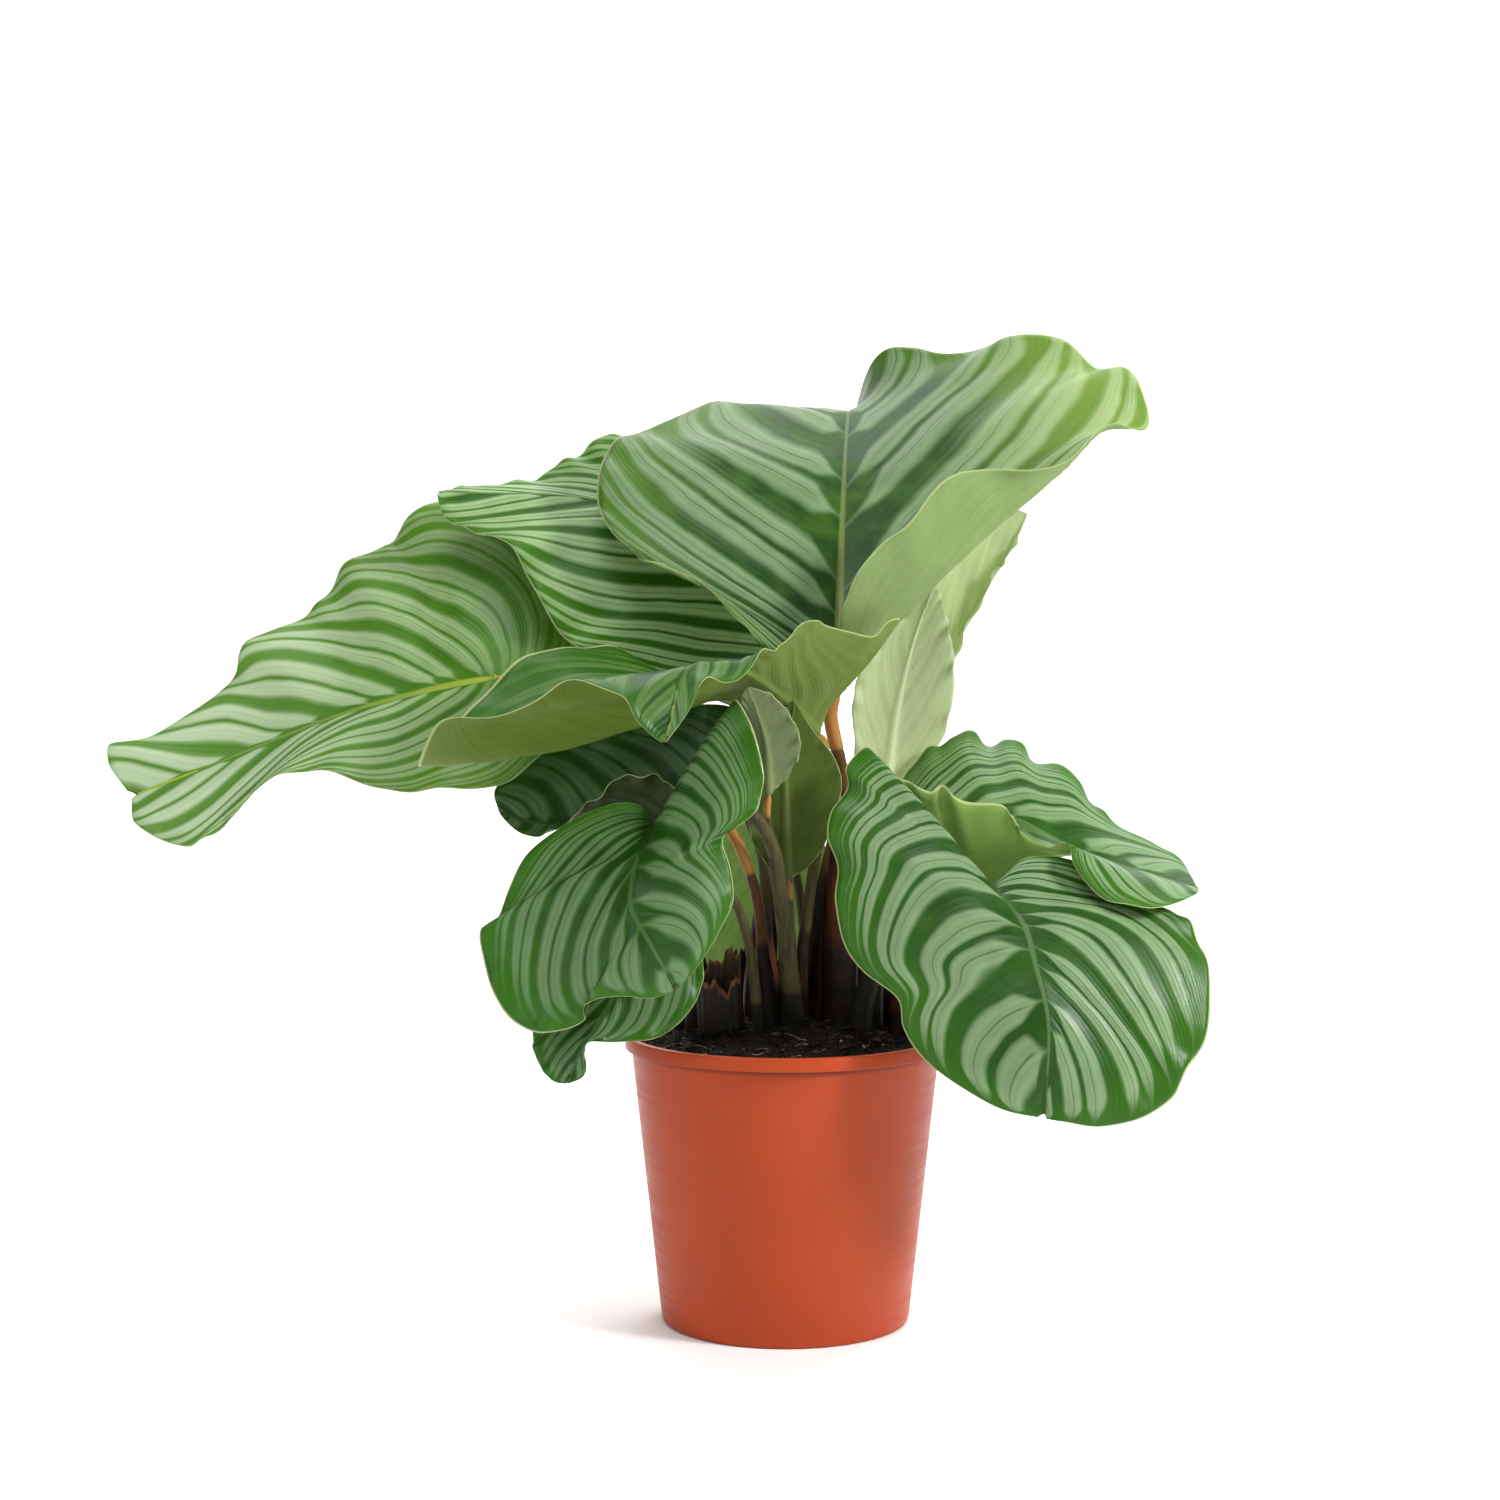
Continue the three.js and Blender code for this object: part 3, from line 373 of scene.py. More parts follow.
# Name, place, aim and width in metres, power in watts, and whether glossy surfaces show it.
LIGHTS = (
    ("key", (1.42, -0.78, 1.15), (0, 0, 0.2), 0.45, 30, True),
    ("top", (-0.2, -0.75, 2.2), (0, 0, 0.3), 1.0, 19, True),
    ("fill", (-1.6, -1.5, 0.9), (0, 0, 0.3), 1.4, 9, True),
    ("back", (0.7, 1.5, 1.5), (0, 0, 0.35), 1.2, 26, False),
    ("backdrop", (0, 1.2, 2.4), (0, 3.2, 0.6), 2.0, 60, True),
)
SKY = 0.27
CAMERA_PLACE = (-0.0188, -1.448, 0.381)  # m
CAMERA_TILT = 86.9
CAMERA_LENS = 66

STEPS = ("stage", "pot", "soil", "litter", "stub", "sheaths", "stalks", "leaves")


# ---- shared steps -------------------------------------------------------------------------

def select_only(*pieces):
    """Selects these pieces alone, and makes the first of them the active one."""
    for thing in list(bpy.context.selected_objects):
        thing.select_set(False)
    for piece in reversed(pieces):
        piece.select_set(True)
        bpy.context.view_layer.objects.active = piece


def newest(name):
    """The piece that was just made, with its name."""
    piece = bpy.context.object
    piece.name = piece.data.name = name
    return piece


def spline(points, shares):
    """Points of a uniform Catmull-Rom curve at the given shares of its spans."""
    points = np.asarray(points, float)
    spans = len(points) - 1
    shares = np.clip(np.asarray(shares, float), 0, 1) * spans
    index = np.minimum(shares.astype(int), spans - 1)
    u = (shares - index)[:, None]
    ends = np.vstack([2 * points[0] - points[1], points, 2 * points[-1] - points[-2]])
    a, b, c, d = (ends[index + i] for i in range(4))
    return 0.5 * (2 * b + (c - a) * u + (2 * a - 5 * b + 4 * c - d) * u**2 + (3 * b - a - 3 * c + d) * u**3)


def unit(vectors):
    return vectors / np.maximum(np.linalg.norm(vectors, axis=1, keepdims=True), 1e-9)


def smoothstep(low, high, values):
    share = np.clip((values - low) / (high - low), 0, 1)
    return share * share * (3 - 2 * share)


def hump(values, middle, width):
    """1 at the middle, and soon 0 on both sides of it."""
    return np.exp(-(((values - middle) / width) ** 2))


def vectors_of(items, key):
    """One row of three numbers for each item of a mesh."""
    flat = np.empty(len(items) * 3, np.float32)
    items.foreach_get(key, flat)
    return flat.reshape(-1, 3).astype(float)


def coordinates(piece):
    return vectors_of(piece.data.vertices, "co")


def shape(piece, points, scale=MM):
    """Moves a piece's vertices to these points."""
    piece.data.vertices.foreach_set("co", (points * scale).astype(np.float32).ravel())
    piece.data.update()


def held_in(points):
    """Eases points in metres that come near the frame's outer limits back inside them."""
    over = np.maximum(points - (np.array(CAD_BOX[1]) - BOX_SKIN - BOX_EASE), 0)
    under = np.maximum(np.array(CAD_BOX[0]) + BOX_SKIN + BOX_EASE - points, 0)
    return (points - over + BOX_EASE * (1 - np.exp(-over / BOX_EASE))
            + under - BOX_EASE * (1 - np.exp(-under / BOX_EASE)))


def store(piece, **values):
    """Keeps numbers per vertex, which the finish reads by their names."""
    for name, numbers in values.items():
        attribute = piece.data.attributes.new(name, "FLOAT", "POINT")
        attribute.data.foreach_set("value", np.asarray(numbers, np.float32))


def sheet(name, across, along):
    """A flat grid to be laid onto a form. Gives it with each vertex's place across and along it."""
    bpy.ops.mesh.primitive_grid_add(x_subdivisions=across, y_subdivisions=along, size=1)
    piece = newest(name)
    flat = coordinates(piece)
    return piece, 2 * flat[:, 0], flat[:, 1] + 0.5


def edit(piece, *steps):
    """Runs edit-mode steps on the whole of a piece."""
    select_only(piece)
    bpy.ops.object.mode_set(mode="EDIT")
    bpy.ops.mesh.select_all(action="SELECT")
    for step in steps:
        step()
    bpy.ops.object.mode_set(mode="OBJECT")


def merge_seam():
    bpy.ops.mesh.remove_doubles(threshold=1e-6)


def face_outward():
    bpy.ops.mesh.normals_make_consistent(inside=False)


def cap_ends():
    bpy.ops.mesh.select_all(action="DESELECT")
    bpy.ops.mesh.select_non_manifold(extend=False)
    bpy.ops.mesh.edge_face_add()
    bpy.ops.mesh.select_all(action="SELECT")


def apply(piece, kind, **settings):
    """Adds a modifier with these settings and applies it."""
    select_only(piece)
    modifier = piece.modifiers.new(kind.title(), kind)
    for key, value in settings.items():
        setattr(modifier, key, value)
    bpy.ops.object.modifier_apply(modifier=modifier.name)


def finish_piece(piece, slot, *nodes, finish=None, angle=None):
    """Gives a piece its finish and shading, parents it to the root and hides the nodes that it stands for. slot
    is not used.
    """
    if finish:
        piece.data.materials.append(finish)
    select_only(piece)
    if angle is None:
        bpy.ops.object.shade_smooth()
    else:
        bpy.ops.object.shade_smooth_by_angle(angle=math.radians(angle))
    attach(piece, "root")
    if nodes:
        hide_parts(*nodes)


# ---- finishes -----------------------------------------------------------------------------

def scaled(colour, gain, plus=0.0):
    """A lighter or darker colour, up to white."""
    return tuple(min(1.0, gain * part + plus) for part in colour)


class Finish:
    """A node material under construction."""

    def __init__(self, name):
        self.material = bpy.data.materials.new(name)
        self.material.use_nodes = True
        self.tree = self.material.node_tree
        self.shader = self.tree.nodes["Principled BSDF"]
        self.output = self.tree.nodes["Material Output"]
        self.place = self.add("ShaderNodeTexCoord").outputs["Object"]

    def plug(self, socket, value):
        if isinstance(value, bpy.types.NodeSocket):
            self.tree.links.new(value, socket)
        elif isinstance(value, (tuple, list)) and len(value) == 3 and socket.type == "RGBA":
            socket.default_value = (*value, 1)
        else:
            socket.default_value = value

    def add(self, kind, inputs=None, **settings):
        node = self.tree.nodes.new(kind)
        for key, value in settings.items():
            setattr(node, key, value)
        for key, value in (inputs or {}).items():
            self.plug(node.inputs[key], value)
        return node

    def done(self, **values):
        """Sets the shader's own sockets and gives the material."""
        for key, value in values.items():
            self.plug(self.shader.inputs[key.replace("_", " ")], value)
        return self.material

    def attribute(self, name):
        return self.add("ShaderNodeAttribute", attribute_name=name).outputs["Fac"]

    def math(self, operation, a, b=0.0):
        return self.add("ShaderNodeMath", {0: a, 1: b}, operation=operation).outputs[0]

    def times(self, a, b):
        return self.math("MULTIPLY", a, b)

    def span(self, value, low, high, start=0.0, end=1.0, kind="SMOOTHSTEP"):
        """value between low and high becomes start to end."""
        inputs = {"Value": value, "From Min": low, "From Max": high, "To Min": start, "To Max": end}
        return self.add("ShaderNodeMapRange", inputs, interpolation_type=kind).outputs[0]

    def noise(self, scale, detail=3.0, stretch=None):
        where = self.place
        if stretch:
            where = self.add("ShaderNodeMapping", {"Vector": where, "Scale": stretch}).outputs[0]
        inputs = {"Vector": where, "Scale": scale, "Detail": detail}
        return self.add("ShaderNodeTexNoise", inputs).outputs["Fac"]

    def mix(self, share, a, b, blend="MIX"):
        inputs = {0: share, 6: a, 7: b}
        return self.add("ShaderNodeMix", inputs, data_type="RGBA", blend_type=blend).outputs[2]

    def fade(self, value, low, high, a, b, most=1.0):
        """a goes over to b, or to a share of it, while value runs from low to high."""
        return self.mix(self.span(value, low, high, 0.0, most), a, b)

    def ramp(self, value, stops, kind="LINEAR"):
        node = self.add("ShaderNodeValToRGB", {"Fac": value})
        node.color_ramp.interpolation = kind
        while len(node.color_ramp.elements) < len(stops):
            node.color_ramp.elements.new(0.5)
        for element, (place, shade) in zip(node.color_ramp.elements, stops):
            element.position = place
            element.color = (shade, shade, shade, 1)
        return node.outputs["Color"]

    def bump(self, height, distance, strength=1.0, under=None):
        inputs = {"Height": height, "Distance": distance, "Strength": strength}
        if under is not None:
            inputs["Normal"] = under
        return self.add("ShaderNodeBump", inputs).outputs[0]


def band_height(turn):
    """How pale a band is, at a turn of the pairs of bands, as the finish has it."""
    places, levels = zip(*BAND_STOPS)
    return np.interp(turn % 1.0, places, levels)


def blade_finish(name, tone, rim, upper):
    """The banded upper face of a leaf, or its paler underside."""
    f = Finish(name)
    across, turn, rib, along, apart = map(f.attribute, ("across", "turn", "rib", "along", "open"))
    turn = f.math("ADD", turn, f.span(f.noise(26.0, 2.0), 0.3, 0.7, -0.035, 0.035, "LINEAR"))
    pair = f.math("FRACT", turn)
    level = f.math("MAXIMUM", f.span(across, 0.02, tone.begin, 1.02, 0.44),
                   f.span(across, 0.80, 1.0, 0.44, tone.close))
    soft = 0.15 * tone.soft
    pale = f.span(f.ramp(pair, BAND_STOPS), f.math("SUBTRACT", level, soft), f.math("ADD", level, soft))
    pale = f.times(pale, f.span(across, 0.82, 0.98, 1.0, tone.fade))
    pale = f.times(pale, f.span(along, 0.03, tone.wake, 0.2, 1.0))
    fine = f.ramp(f.math("FRACT", f.times(turn, 11.0)), [(0.0, 0.0), (0.5, 1.0), (1.0, 0.0)], "EASE")
    fine = f.times(fine, f.times(apart, f.span(across, 0.03, 0.14)))
    veins = f.times(f.ramp(pair, VEIN_STOPS), apart)
    cloud = f.noise(60.0, 4.0)
    if upper:
        dim = scaled(tone.dark, 0.45)
        mean = tuple(0.6 * x + 0.4 * y for x, y in zip(tone.dark, tone.pale))
        shade = f.fade(across, 0.45, 1.0, tone.dark, tone.margin, 0.85)
        shade = f.fade(cloud, 0.35, 0.7, shade, tone.margin, 0.35)
        shade = f.mix(f.times(pale, f.span(cloud, 0.2, 0.8, 0.78, 1.0)), shade, tone.pale)
        shade = f.mix(f.times(veins, f.span(across, 0.05, 0.2, 0.0, 0.75)), shade, dim)
        shade = f.mix(f.times(fine, 0.14), shade, dim)
        # Painted glow: where blush is set, the upper face is lightened and yellowed to stand in for light
        # shining through the leaf.
        if tone.painted_glow_colours:
            shade = f.mix(f.times(f.attribute("blush"), 0.8), shade, f.mix(pale, *tone.painted_glow_colours))
        shade = f.fade(rib, 0.25, 0.75, shade, f.fade(along, 0.12, 0.75, tone.rib, mean, 0.8), 0.9)
        surface = {"Specular_IOR_Level": tone.gloss, "Coat_Weight": 0.05, "Coat_Roughness": 0.22,
                   "Roughness": f.span(cloud, 0.3, 0.7, 0.34, 0.46)}
    else:
        # Painted light: in the stretches set by wan the underside is painted paler, standing in for more light
        # falling on it.
        wan = tuple(min(1.0, part * gain) for part, gain in zip(tone.under, PAINTED_LIGHT_GAIN))
        shade = f.fade(cloud, 0.3, 0.75, tone.under, scaled(tone.under, 0.72), 0.35)
        shade = f.mix(f.attribute("wan"), shade, wan)
        shade = f.mix(f.times(pale, 0.16), shade, scaled(tone.under, 1.4))
        shade = f.mix(f.times(fine, 0.12), shade, scaled(tone.under, 0.6))
        shade = f.mix(f.times(veins, 0.35), shade, scaled(tone.under, 0.5))
        shade = f.fade(rib, 0.2, 0.7, shade, tone.rib)
        surface = {"Specular_IOR_Level": 0.35 * tone.gloss, "Roughness": f.span(cloud, 0.3, 0.7, 0.45, 0.60)}
    # Painted highlight: a thin pale line along the margin, in the leaf rim colour.
    shade = f.mix(f.span(across, 0.989, 0.995), shade, rim)
    shade = f.fade(along, 0.985, 0.998, shade, (0.16, 0.10, 0.04), 0.8)
    normal = f.bump(fine, 0.0003, 0.35, f.bump(f.noise(900.0, 2.0), 0.00015, 0.35))
    normal = f.bump(veins, 0.0004, -0.6 if upper else 0.6, normal)
    lit = {"Color": f.mix(1.0, shade, tone.through, "MULTIPLY"), "Normal": normal}
    through = f.add("ShaderNodeBsdfTranslucent", lit).outputs[0]
    both = f.add("ShaderNodeMixShader", {0: tone.clear, 1: f.shader.outputs[0], 2: through})
    f.plug(f.output.inputs["Surface"], both.outputs[0])
    return f.done(Base_Color=shade, Normal=normal, **surface)


def stalk_finish(name, tone):
    """A smooth joint under the blade, a streaked stem and a papery sheath, near black partly as painted shade
    low among the stalks.
    """
    f = Finish(name)
    joint, ring, sheath = map(f.attribute, ("joint", "ring", "sheath"))
    streak = f.noise(420.0, 4.0, (1.0, 1.0, 0.05))
    cloud = f.noise(70.0, 4.0)
    shade = f.fade(streak, 0.35, 0.7, tone.stem, scaled(tone.stem, 0.45), 0.7)
    shade = f.fade(joint, 0.3, 0.8, shade, tone.joint)
    shade = f.mix(f.times(ring, 0.85), shade, (0.10, 0.045, 0.02))
    shade = f.fade(joint, 0.0, 1.0, shade, f.fade(cloud, 0.4, 0.65, tone.joint, (0.50, 0.34, 0.10)), 0.25)
    husk = f.fade(streak, 0.4, 0.75, tone.sheath, scaled(tone.sheath, 3.0), 0.8)
    husk = f.fade(cloud, 0.48, 0.72, husk, (0.110, 0.024, 0.008), 0.45)
    return f.done(Base_Color=f.fade(sheath, 0.2, 0.8, shade, husk), Specular_IOR_Level=0.22,
                  Roughness=f.span(streak, 0.3, 0.7, 0.48, 0.65), Normal=f.bump(streak, 0.0006, 0.5))


def pot_finish(name, colour):
    """Satin moulded plastic with a faint mottle, flow lines and scuffs, and a dark band of painted shadow under
    the lip.
    """
    f = Finish(name)
    mottle = f.noise(22.0, 5.0)
    lines = f.noise(120.0, 2.0, (0.15, 0.15, 3.0))
    scuff = f.noise(55.0, 8.0, (1.0, 1.0, 0.35))
    shade = f.fade(mottle, 0.3, 0.7, colour, scaled(colour, 0.82), 0.35)
    shade = f.fade(scuff, 0.66, 0.78, shade, scaled(colour, 1.5, 0.05), 0.18)
    height = f.add("ShaderNodeSeparateXYZ", {"Vector": f.place}).outputs["Z"]
    # Painted shadow: a dark band just under the lip's edge stands in for the shade that the lip casts.
    edge = POT_LIP_EDGE * MM
    painted_lip_shadow = f.times(f.span(height, edge - 0.0035, edge - 0.0003, 0.0, 0.7),
                   f.math("LESS_THAN", height, edge + 0.0001))
    rough = f.math("ADD", f.span(lines, 0.3, 0.7, 0.36, 0.48), f.span(scuff, 0.6, 0.8, 0.0, 0.15))
    normal = f.bump(lines, 0.0004, 0.04, f.bump(f.noise(1500.0, 2.0), 0.0001, 0.25))
    return f.done(Base_Color=f.mix(painted_lip_shadow, shade, scaled(colour, 0.25)), Roughness=rough, Normal=normal,
                  Specular_IOR_Level=0.20, Subsurface_Weight=0.06, Subsurface_Scale=0.004)


def soil_finish(name, colour):
    """Damp, crumbly, nearly black potting mix."""
    f = Finish(name)
    crumb = f.noise(340.0, 6.0)
    patch = f.noise(55.0, 4.0)
    cell = f.add("ShaderNodeTexVoronoi", {"Vector": f.place, "Scale": 480.0}).outputs["Distance"]
    shade = f.fade(patch, 0.35, 0.7, colour, scaled(colour, 2.2))
    shade = f.fade(crumb, 0.64, 0.76, shade, (0.034, 0.015, 0.007), 0.8)
    return f.done(Base_Color=shade, Roughness=f.span(patch, 0.3, 0.7, 0.62, 0.95), Specular_IOR_Level=0.15,
                  Normal=f.bump(cell, 0.002, 0.6, f.bump(crumb, 0.004, 0.9)))


def fibre_finish(name, colour, dark):
    """Dry root fibre, bark or perlite, with its own mottle."""
    f = Finish(name)
    cloud = f.noise(600.0, 4.0)
    return f.done(Base_Color=f.fade(cloud, 0.35, 0.65, colour, dark),
                  Roughness=f.span(cloud, 0.3, 0.7, 0.6, 0.9), Normal=f.bump(cloud, 0.0006, 0.5))


def stub_finish(name):
    """Torn leaf base: dark outside, orange-brown and pale where it tore."""
    f = Finish(name)
    streak = f.noise(380.0, 5.0, (1.0, 1.0, 0.06))
    body = f.fade(streak, 0.35, 0.65, (0.009, 0.007, 0.003), (0.030, 0.024, 0.008))
    flesh = f.fade(streak, 0.4, 0.62, (0.110, 0.022, 0.006), (0.270, 0.130, 0.050))
    return f.done(Base_Color=f.fade(f.attribute("torn"), 0.35, 0.85, body, flesh),
                  Roughness=f.span(streak, 0.3, 0.7, 0.5, 0.8), Normal=f.bump(streak, 0.0012, 0.8))


def studio_finish(name, colour):
    """Matt studio paper with a barely visible tooth."""
    f = Finish(name)
    tooth = f.noise(300.0, 3.0)
    return f.done(Base_Color=f.fade(tooth, 0.3, 0.7, colour, scaled(colour, 0.985)), Roughness=0.9,
                  Normal=f.bump(tooth, 0.0003, 0.1), Specular_IOR_Level=0.1)


# ---- settings -----------------------------------------------------------------------------

class CalatheaSizes(PropertyGroup):
    """Sizes of the finer forms, in metres."""

    blade_thickness: FloatProperty(
        name="Blade thickness", description="Thickness of a leaf between its veins",
        default=0.0006, min=0.0003, max=0.001, unit="LENGTH", precision=5)
    rib_height: FloatProperty(
        name="Midrib height", description="How far the midrib stands out under a leaf's base",
        default=0.0022, min=0.0005, max=0.004, unit="LENGTH", precision=5)
    margin_ripple: FloatProperty(
        name="Margin ripple", description="Height of the small waves along a leaf's margin",
        default=0.0016, min=0.0, max=0.004, unit="LENGTH", precision=5)
    vein_arch: FloatProperty(
        name="Vein arch", description="How strongly the bands sweep toward the tip",
        default=1.0, min=0.5, max=1.5, subtype="FACTOR")
    stalk_sides: IntProperty(
        name="Stalk sides", description="Number of faces round a stalk", default=24, min=8, max=48)
    pot_segments: IntProperty(
        name="Pot segments", description="Number of faces round the pot", default=144, min=48, max=256)
    crumbs: IntProperty(
        name="Soil crumbs", description="Number of loose crumbs on the soil", default=900, min=0, max=2000)
    fibres: IntProperty(
        name="Root fibres", description="Number of pale fibres on the soil", default=90, min=0, max=300)


class CalatheaColours(PropertyGroup):
    """Colours that a user would change."""

    # Painted highlight: the pale line along each leaf's margin stands in for light catching the edge.
    leaf_rim_highlight: FloatVectorProperty(
        name="Leaf rim", description="Thin pale line along a leaf's margin",
        default=(0.42, 0.52, 0.22), size=3, min=0, max=1, subtype="COLOR")
    pot: FloatVectorProperty(
        name="Pot", description="Plastic of the pot",
        default=(0.430, 0.056, 0.012), size=3, min=0, max=1, subtype="COLOR")
    soil: FloatVectorProperty(
        name="Soil", description="Damp potting mix",
        default=(0.007, 0.0045, 0.003), size=3, min=0, max=1, subtype="COLOR")
    floor: FloatVectorProperty(
        name="Floor", description="Studio floor",
        default=(0.93, 0.93, 0.93), size=3, min=0, max=1, subtype="COLOR")
    light: FloatProperty(
        name="Light", description="Strength of the studio light", default=1.0, min=0.1, max=4,
        subtype="FACTOR")


# ---- leaves -------------------------------------------------------------------------------

def blade_surface(leaf, along, across):
    """Points of a leaf, and how far each lies from the midrib. across runs from -1 to 1."""
    rib_share = along ** leaf.fan
    start = spline(leaf.mid, rib_share)
    forward = unit(spline(leaf.mid, np.minimum(rib_share + 0.01, 1))
                   - spline(leaf.mid, np.maximum(rib_share - 0.01, 0)))
    points = np.empty_like(start)
    distance = np.empty(len(along))
    base, tip = leaf.mid[0], leaf.mid[-1]
    arch = BLADE_ARCH * smoothstep(0, BLADE_ARCH_START, along)[:, None]
    rise = np.sqrt(np.sin(np.pi * along))[:, None]
    for turn, rail, fold, swell in ((-1, leaf.left, leaf.left_bend, leaf.swell[0]),
                                    (1, leaf.right, leaf.right_bend, leaf.swell[1])):
        here = across < 0 if turn < 0 else across >= 0
        share, middle, ahead = along[here], start[here], forward[here]
        end = spline([base, *rail, tip], share)
        chord = end - middle
        width = np.linalg.norm(chord, axis=1, keepdims=True)
        if fold:
            bend = spline([base, *fold, tip], share)
        else:
            upward = np.cross(chord, ahead) * turn / width
            bend = middle + 0.5 * chord - arch[here] * width * ahead + swell * width * upward * rise[here]
        w = np.abs(across[here])[:, None]
        points[here] = (1 - w) ** 2 * middle + 2 * w * (1 - w) * bend + w**2 * end
        distance[here] = w[:, 0] * width[:, 0]
    return points, distance


def vein_turn(leaf, along, across, width, sizes):
    """Which pair of bands a point lies in, and 1 where the bands are far apart, 0 where they crowd."""
    turn = np.empty(len(along))
    crowd = np.empty(len(along))
    length = np.linalg.norm(np.diff(spline(leaf.mid, np.linspace(0, 1, 40)), axis=0), axis=1).sum()
    for side, here in ((0, across < 0), (1, across >= 0)):
        pairs, (reach, power) = leaf.pairs[side], leaf.arch[side]
        w = np.maximum(np.abs(across[here]), 0.004)
        lift = np.minimum(reach * sizes.vein_arch * w**power + VEIN_HOOK * w**8, 0.9)
        turn[here] = pairs * (along[here] - lift) / (1 - lift) + leaf.phase[side]
        slope = reach * power * w ** (power - 1) + 8 * VEIN_HOOK * w**7
        onward = pairs / (1 - lift) / length
        outward = pairs * (1 - along[here]) / (1 - lift) ** 2 * slope / (width[here] + 2)
        crowd[here] = np.hypot(onward, outward)
    return turn + 20, 1 / (1 + (crowd / VEIN_CROWD) ** 3)


def thickness_group(piece, weights):
    """A vertex group that the thickness follows, in a few dozen steps."""
    group = piece.vertex_groups.new(name="thickness")
    level = np.clip(np.rint(weights * THICKNESS_STEPS), 1, THICKNESS_STEPS).astype(int)
    for step in np.unique(level).tolist():
        group.add(np.flatnonzero(level == step).tolist(), step / THICKNESS_STEPS, "REPLACE")
    return group.name


def make_blade(leaf, sizes, colours):
    """A leaf's blade: the sheet on its rails, then pleats, waves, midrib, thickness and finish."""
    large = leaf.rows > LARGE_LEAF_ROWS
    piece, across, along = sheet(f"leaf_{leaf.name}", LARGE_LEAF_COLUMNS if large else SMALL_LEAF_COLUMNS,
                                 leaf.rows)
    across = np.sign(across) * np.abs(across) ** MIDRIB_CROWDING
    along = BLADE_FIRST + BLADE_REACH * along
    points, distance = blade_surface(leaf, along, across)
    shape(piece, points)
    side = np.abs(across)
    belly = np.sin(np.pi * along)
    turn, apart = vein_turn(leaf, along, across, distance / np.maximum(side, 1e-3), sizes)
    rib = hump(distance, 0, RIB_WIDTH * (1 - along) ** 0.7 + RIB_TIP_WIDTH)
    ease = np.minimum(1, np.minimum(side / 0.12, (1 - side) / 0.1))
    pleat = leaf.pleat * (band_height(turn) - 0.5) * ease * apart * belly**0.5
    begin = 2 * np.pi * leaf.phase[0] + 2.1 * (across > 0)
    waves = sum(high * np.sin(2 * np.pi * count * along + (i + 1) * begin)
                for i, (count, high) in enumerate(RIPPLES))
    ripple = sizes.margin_ripple / MM * waves * side**7 * belly
    lift = 0.5 * sizes.blade_thickness / MM + pleat + ripple - 0.5 * rib * (1 - along)
    normals = vectors_of(piece.data.vertex_normals, "vector")
    shape(piece, held_in((points + normals * lift[:, None]) * MM), 1)
    # blush and wan say for each vertex where painted light is laid on the upper face and on the underside.
    store(piece, across=side, along=along, turn=turn, rib=rib, open=apart,
          blush=smoothstep(*leaf.blush, points[:, 0]),
          wan=np.max([smoothstep(*reach, points[:, 0]) for reach in leaf.wan], axis=0))
    body = sizes.blade_thickness / sizes.rib_height
    weights = body * (1 - 0.45 * smoothstep(0.9, 1.0, side))
    weights = weights + (1 - body) * rib * (0.15 + 0.85 * (1 - along) ** 1.5)
    group = thickness_group(piece, weights)
    for face in ("upper", "lower"):
        piece.data.materials.append(blade_finish(f"{face}_{leaf.name}", TONES[leaf.tone],
                                                 tuple(colours.leaf_rim_highlight), face == "upper"))
    apply(piece, "SOLIDIFY", thickness=sizes.rib_height, offset=-1, vertex_group=group,
          thickness_vertex_group=0.02, material_offset=1, material_offset_rim=1, use_even_offset=False)
    piece.vertex_groups.clear()
    finish_piece(piece, "blade", f"blade_{leaf.name}")


class CALATHEA_OT_leaves(Operator):
    """Lays a finely pleated, banded blade over each leaf"""

    bl_idname = "calathea.leaves"
    bl_label = "Leaves"

    def execute(self, context):
        for leaf in LEAVES:
            make_blade(leaf, context.scene.calathea_sizes, context.scene.calathea_colours)
        return {"FINISHED"}


# ---- stalks -------------------------------------------------------------------------------

def stalk_path(leaf):
    """Close points down the middle of a stalk, and how far each is from its top."""
    top = spline(leaf.mid, [STALK_SEAT**leaf.fan])[0]
    x, y, _ = leaf.stalk[-1]
    dense = spline([top, *leaf.stalk, (x, y, FOOT_HEIGHT)], np.linspace(0, 1, 800))
    return dense, np.concatenate([[0], np.cumsum(np.linalg.norm(np.diff(dense, axis=0), axis=1))])


